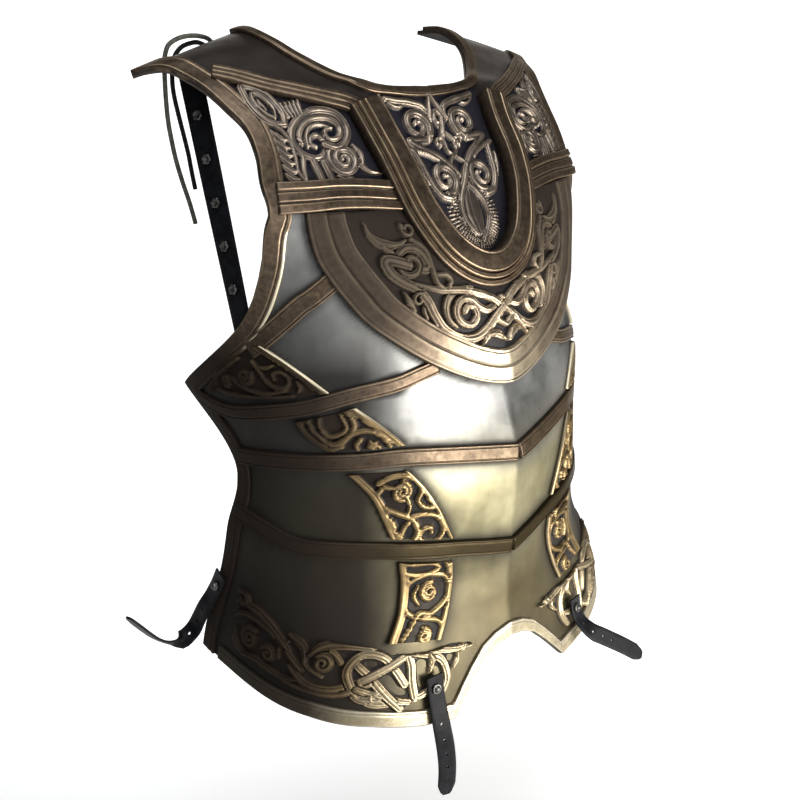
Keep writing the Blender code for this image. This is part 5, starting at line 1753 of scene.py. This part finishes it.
def make_strap(name, route, facings, width, point_length, holes):
    """A flat strap with round punched holes at places along it, all in millimetres from its start."""
    lengths = np.cumsum([0] + [(q - p).length / MM for p, q in zip(route, route[1:])])
    total = float(lengths[-1])
    frames = strap_frames(route, facings)
    block = HOLE_RADIUS + HOLE_MARGIN
    stations = {0.0, total}
    for hole in holes:
        stations |= {hole - block, hole, hole + block}
    for spot in np.arange(3.0, total - 0.4, 3.0):
        if all(abs(spot - hole) > block + HOLE_MARGIN for hole in holes):
            stations.add(float(spot))
    for spot in np.linspace(total - point_length, total - 0.5, 7):
        stations.add(float(spot))
    stations = sorted(stations)
    shares = (-1.0, -0.93, -0.62, -block / (width / 2), 0.0, block / (width / 2), 0.62, 0.93, 1.0)
    drops = (0.55, 0.0, 0.0, 0.0, 0.0, 0.0, 0.0, 0.0, 0.55)

    def place_at(spot, offset, rise):
        k = min(int(np.searchsorted(lengths, spot, side="right")) - 1, len(route) - 2)
        t = (spot - lengths[k]) / (lengths[k + 1] - lengths[k])
        place, sideways, out = (a.lerp(b, t) for a, b in zip(frames[k], frames[k + 1]))
        return place + sideways.normalized() * offset * MM + out.normalized() * rise * MM

    half = LEATHER_THICKNESS / MM / 2
    points, faces, ids = [], [], {}
    for level in (1, -1):
        for row, spot in enumerate(stations):
            left = total - spot
            taper = 1.0 if left > point_length else 0.30 + 0.70 * math.sqrt(max(left, 0) / point_length)
            for column, (share, drop) in enumerate(zip(shares, drops)):
                ids[(level, row, column)] = len(points)
                points.append(place_at(spot, share * width / 2 * taper, level * (half - drop)))
    middle = len(shares) // 2
    hole_rows = {stations.index(hole): hole for hole in holes}
    bores = {}
    for level in (1, -1):
        for row, hole in hole_rows.items():
            ring = []
            for k in range(8):
                bearing = math.radians(45 * k)
                ring.append(len(points))
                points.append(
                    place_at(
                        hole + HOLE_RADIUS * math.sin(bearing),
                        HOLE_RADIUS * math.cos(bearing),
                        level * half,
                    )
                )
            bores[(level, row)] = ring

    def add(face, level):
        faces.append(face if level > 0 else face[::-1])

    for level in (1, -1):
        for row in range(len(stations) - 1):
            for column in range(len(shares) - 1):
                corner = [ids[(level, row + r, column + c)] for r, c in ((0, 0), (0, 1), (1, 1), (1, 0))]
                near_hole = column in (middle - 1, middle) and (row in hole_rows or row + 1 in hole_rows)
                if not near_hole:
                    add(corner, level)
                    continue
                centre_row = row if row in hole_rows else row + 1
                ring = bores[(level, centre_row)]
                ahead, right = centre_row == row, column == middle
                far_row = row + 1 if ahead else row
                far_column = column + 1 if right else column
                along_id, corner_id = ids[(level, far_row, middle)], ids[(level, far_row, far_column)]
                across_id = ids[(level, centre_row, far_column)]
                along_k = 2 if ahead else 6
                across_k = 0 if right else 4
                corner_k = {
                    (True, True): 1, (True, False): 3, (False, False): 5, (False, True): 7,
                }[(ahead, right)]
                face = [across_id, corner_id, along_id, ring[along_k], ring[corner_k], ring[across_k]]
                add(face if ahead == right else face[::-1], level)
    for row in range(len(stations) - 1):
        last = len(shares) - 1
        faces.append([ids[(1, row, 0)], ids[(1, row + 1, 0)], ids[(-1, row + 1, 0)], ids[(-1, row, 0)]])
        faces.append(
            [ids[(1, row + 1, last)], ids[(1, row, last)], ids[(-1, row, last)], ids[(-1, row + 1, last)]]
        )
    for column in range(len(shares) - 1):
        end = len(stations) - 1
        faces.append(
            [ids[(1, 0, column + 1)], ids[(1, 0, column)], ids[(-1, 0, column)], ids[(-1, 0, column + 1)]]
        )
        faces.append(
            [
                ids[(1, end, column)], ids[(1, end, column + 1)], ids[(-1, end, column + 1)],
                ids[(-1, end, column)],
            ]
        )
    for row in hole_rows:
        upper, lower = bores[(1, row)], bores[(-1, row)]
        for k in range(8):
            faces.append([upper[k], upper[(k + 1) % 8], lower[(k + 1) % 8], lower[k]])
    used = np.unique(np.concatenate([np.array(face) for face in faces]))
    order = {int(old): new for new, old in enumerate(used)}
    points = [points[k] for k in used]
    faces = [[order[k] for k in face] for face in faces]
    mesh = make_piece(name, points, faces, {}, LEATHER, [name]).data
    mesh.set_sharp_from_angle(angle=math.radians(50))


STRAP_KNOTS = 12
STRAP_RINGS = 56


def make_leather_straps():
    """The punched leather straps riveted to the hem and sides, with their rivets."""
    relief, rim, gap = 0.0045, 0.003, 0.0010
    kinds = (
        ("hem_strap_right", HEM_STRAP_HANGING, -1, Vector((-0.35, -0.93, 0)), relief, (46, 62, 79, 95)),
        ("hem_strap_left", HEM_STRAP_FLYING, 1, Vector((0.35, -0.93, 0.1)), relief, (30, 43, 57, 70)),
        ("side_strap_right", SIDE_STRAP, -1, Vector((-1, -0.15, 0)), rim, (42, 58, 74, 90)),
        ("side_strap_left", SIDE_STRAP, 1, Vector((1, -0.15, 0)), rim, (42, 58, 74, 90)),
    )
    for name, table, side, facing, carrier, holes in kinds:
        seats, beyond = table
        points = []
        for shares in seats:
            place, normal = skin.seat(scaled(shares))
            points.append(place + normal * (carrier + gap + LEATHER_THICKNESS / 2))
        points += [points[1] + Vector(offset) * STRAP_LENGTH for offset in beyond]
        points = [Vector((point.x * side, point.y, point.z)) for point in points]
        normal.x *= side
        coarse = smooth_line(points, STRAP_KNOTS)
        turns = [normal.lerp(facing, min(max(k - 2, 0) / 4, 1)) for k in range(STRAP_KNOTS)]
        route = smooth_line(coarse, STRAP_RINGS)
        facings = []
        for k in range(STRAP_RINGS):
            place = k / (STRAP_RINGS - 1) * (STRAP_KNOTS - 1)
            low = min(int(place), STRAP_KNOTS - 2)
            facings.append(turns[low].lerp(turns[low + 1], place - low))
        make_strap(name, route, facings, LEATHER_WIDTH / MM, 12.0, holes)
        heading = (coarse[2] - coarse[0]).normalized()
        sideways = heading.cross(turns[1]).normalized()
        out = sideways.cross(heading).normalized()
        seat = coarse[1] + out * (LEATHER_THICKNESS / 2 + RIVET_GAP)
        turned(name.replace("strap", "rivet"), seat, out, RIVET_PROFILE, STUD_STEEL)


def make_harness():
    """The straight leather strap behind each armhole, with its flower studs."""
    for name, side in SIDES:
        ends = (scaled(HARNESS_TOP), scaled(HARNESS_FOOT), HARNESS_FACING_TOP, HARNESS_FACING_FOOT)
        top, foot, start_facing, stop_facing = (Vector((x * side, y, z)) for x, y, z in ends)
        route = [top.lerp(foot, k / 40) for k in range(41)]
        facings = [start_facing.lerp(stop_facing, k / 40) for k in range(41)]
        make_strap(f"harness_strap_{name}", route, facings, HARNESS_WIDTH / MM, 0.6, ())
        heading = (foot - top).normalized()
        for number in range(STUD_COUNT):
            share = STUD_FIRST + STUD_STEP * number
            facing = start_facing.lerp(stop_facing, share)
            normal = heading.cross(facing).normalized().cross(heading).normalized()
            seat = top.lerp(foot, share) + normal * (LEATHER_THICKNESS / 2 + RIVET_GAP)
            stud = f"harness_stud_{name}_{number + 1}"
            turned(stud, seat, normal, STUD_PROFILE, STUD_STEEL, petals=6, swell=0.10)


CHEST = (0, -0.1, -0.30)
#    name  place  width  height  power  colour
LIGHTS = (
    ("key", (0.35, -1.55, -0.55), 1.1, 0.8, 44, (1.0, 0.98, 0.94)),
    ("overhead", (-0.5, -0.5, 1.5), 1.4, 1.4, 24, (0.94, 0.97, 1.0)),
    ("front", (-0.85, -1.65, 0.30), 0.6, 0.6, 6, (0.95, 0.97, 1.0)),
)
FLOOR_LEVEL = -0.85
FLOOR_FRONT = -4.0
FLOOR_HALF_WIDTH = 5.0
BACKDROP_DISTANCE = 3.2
BACKDROP_RISE = 3.2
BACKDROP_BEND = 1.2


def add_light(name, place, width, height, power, colour):
    """A soft rectangular light that looks at the chest."""
    data = bpy.data.lights.new(name, "AREA")
    data.shape = "RECTANGLE"
    data.size = width
    data.size_y = height
    data.energy = power
    data.color = colour
    light = bpy.data.objects.new(name, data)
    light.location = place
    heading = Vector(CHEST) - Vector(place)
    light.rotation_euler = heading.to_track_quat("-Z", "Y").to_euler()
    bpy.context.scene.collection.objects.link(light)


def make_floor():
    """A plain pale floor that turns up behind the object, and glows behind it as seen from the camera."""
    turn_about = math.radians(CAMERA_AZIMUTH)
    heading = Vector((math.sin(turn_about), math.cos(turn_about), 0))
    sideways = Vector((heading.y, -heading.x, 0))
    bend_start = BACKDROP_DISTANCE - BACKDROP_BEND
    profile = [(FLOOR_FRONT, FLOOR_LEVEL), (bend_start, FLOOR_LEVEL)]
    for k in range(1, 9):
        turn = math.radians(90 * k / 8)
        across, up = BACKDROP_BEND * math.sin(turn), BACKDROP_BEND * (1 - math.cos(turn))
        profile.append((bend_start + across, FLOOR_LEVEL + up))
    profile.append((BACKDROP_DISTANCE, FLOOR_LEVEL + BACKDROP_RISE))
    points = []
    for along, z in profile:
        for across in (-FLOOR_HALF_WIDTH, FLOOR_HALF_WIDTH):
            points.append(heading * along + sideways * across + Vector((0, 0, z)))
    faces = [(2 * k, 2 * k + 1, 2 * k + 3, 2 * k + 2) for k in range(len(profile) - 1)]
    mesh = bpy.data.meshes.new("floor")
    mesh.from_pydata([tuple(p) for p in points], [], faces)
    mesh.polygons.foreach_set("use_smooth", [True] * len(mesh.polygons))
    look = Look("floor_paper", 0.0, 0.9)
    look.shader.inputs["Base Color"].default_value = rgb(0.86, 0.86, 0.85)
    look.shader.inputs["Emission Color"].default_value = rgb(1, 1, 1)
    turned_place = look.join("ShaderNodeMapping", {"Vector": look.place, "Rotation": (0, 0, turn_about)})
    axes = look.join("ShaderNodeSeparateXYZ", {"Vector": turned_place}, output="X").node
    aside = look.maths("ABSOLUTE", axes.outputs["X"], 0.0)
    aside.node.use_clamp = False
    glow = look.maths("MULTIPLY", look.spread(axes.outputs["Y"], -0.25, 0.35), look.spread(aside, 2.3, 1.7))
    look.tree.links.new(look.spread(glow, 0.0, 1.0, 0.06, 0.85), look.shader.inputs["Emission Strength"])
    mesh.materials.append(look.material)
    floor = bpy.data.objects.new("floor", mesh)
    bpy.context.scene.collection.objects.link(floor)


def make_lighting():
    """Soft lights, a dim surround and plain colours."""
    world = bpy.data.worlds.new("surround")
    world.use_nodes = True
    background = world.node_tree.nodes["Background"]
    background.inputs["Color"].default_value = rgb(0.78, 0.82, 0.90)
    background.inputs["Strength"].default_value = 0.08
    bpy.context.scene.world = world
    for light in LIGHTS:
        add_light(*light)
    bpy.context.scene.view_settings.view_transform = "Standard"


make_camera()
make_lace()
make_shell()
make_edge_rims()
make_bands()
make_neck_panel()
make_shoulder_reliefs()
make_bib()
make_scroll_panels()
make_hem()
make_leather_straps()
make_harness()
make_floor()
make_lighting()
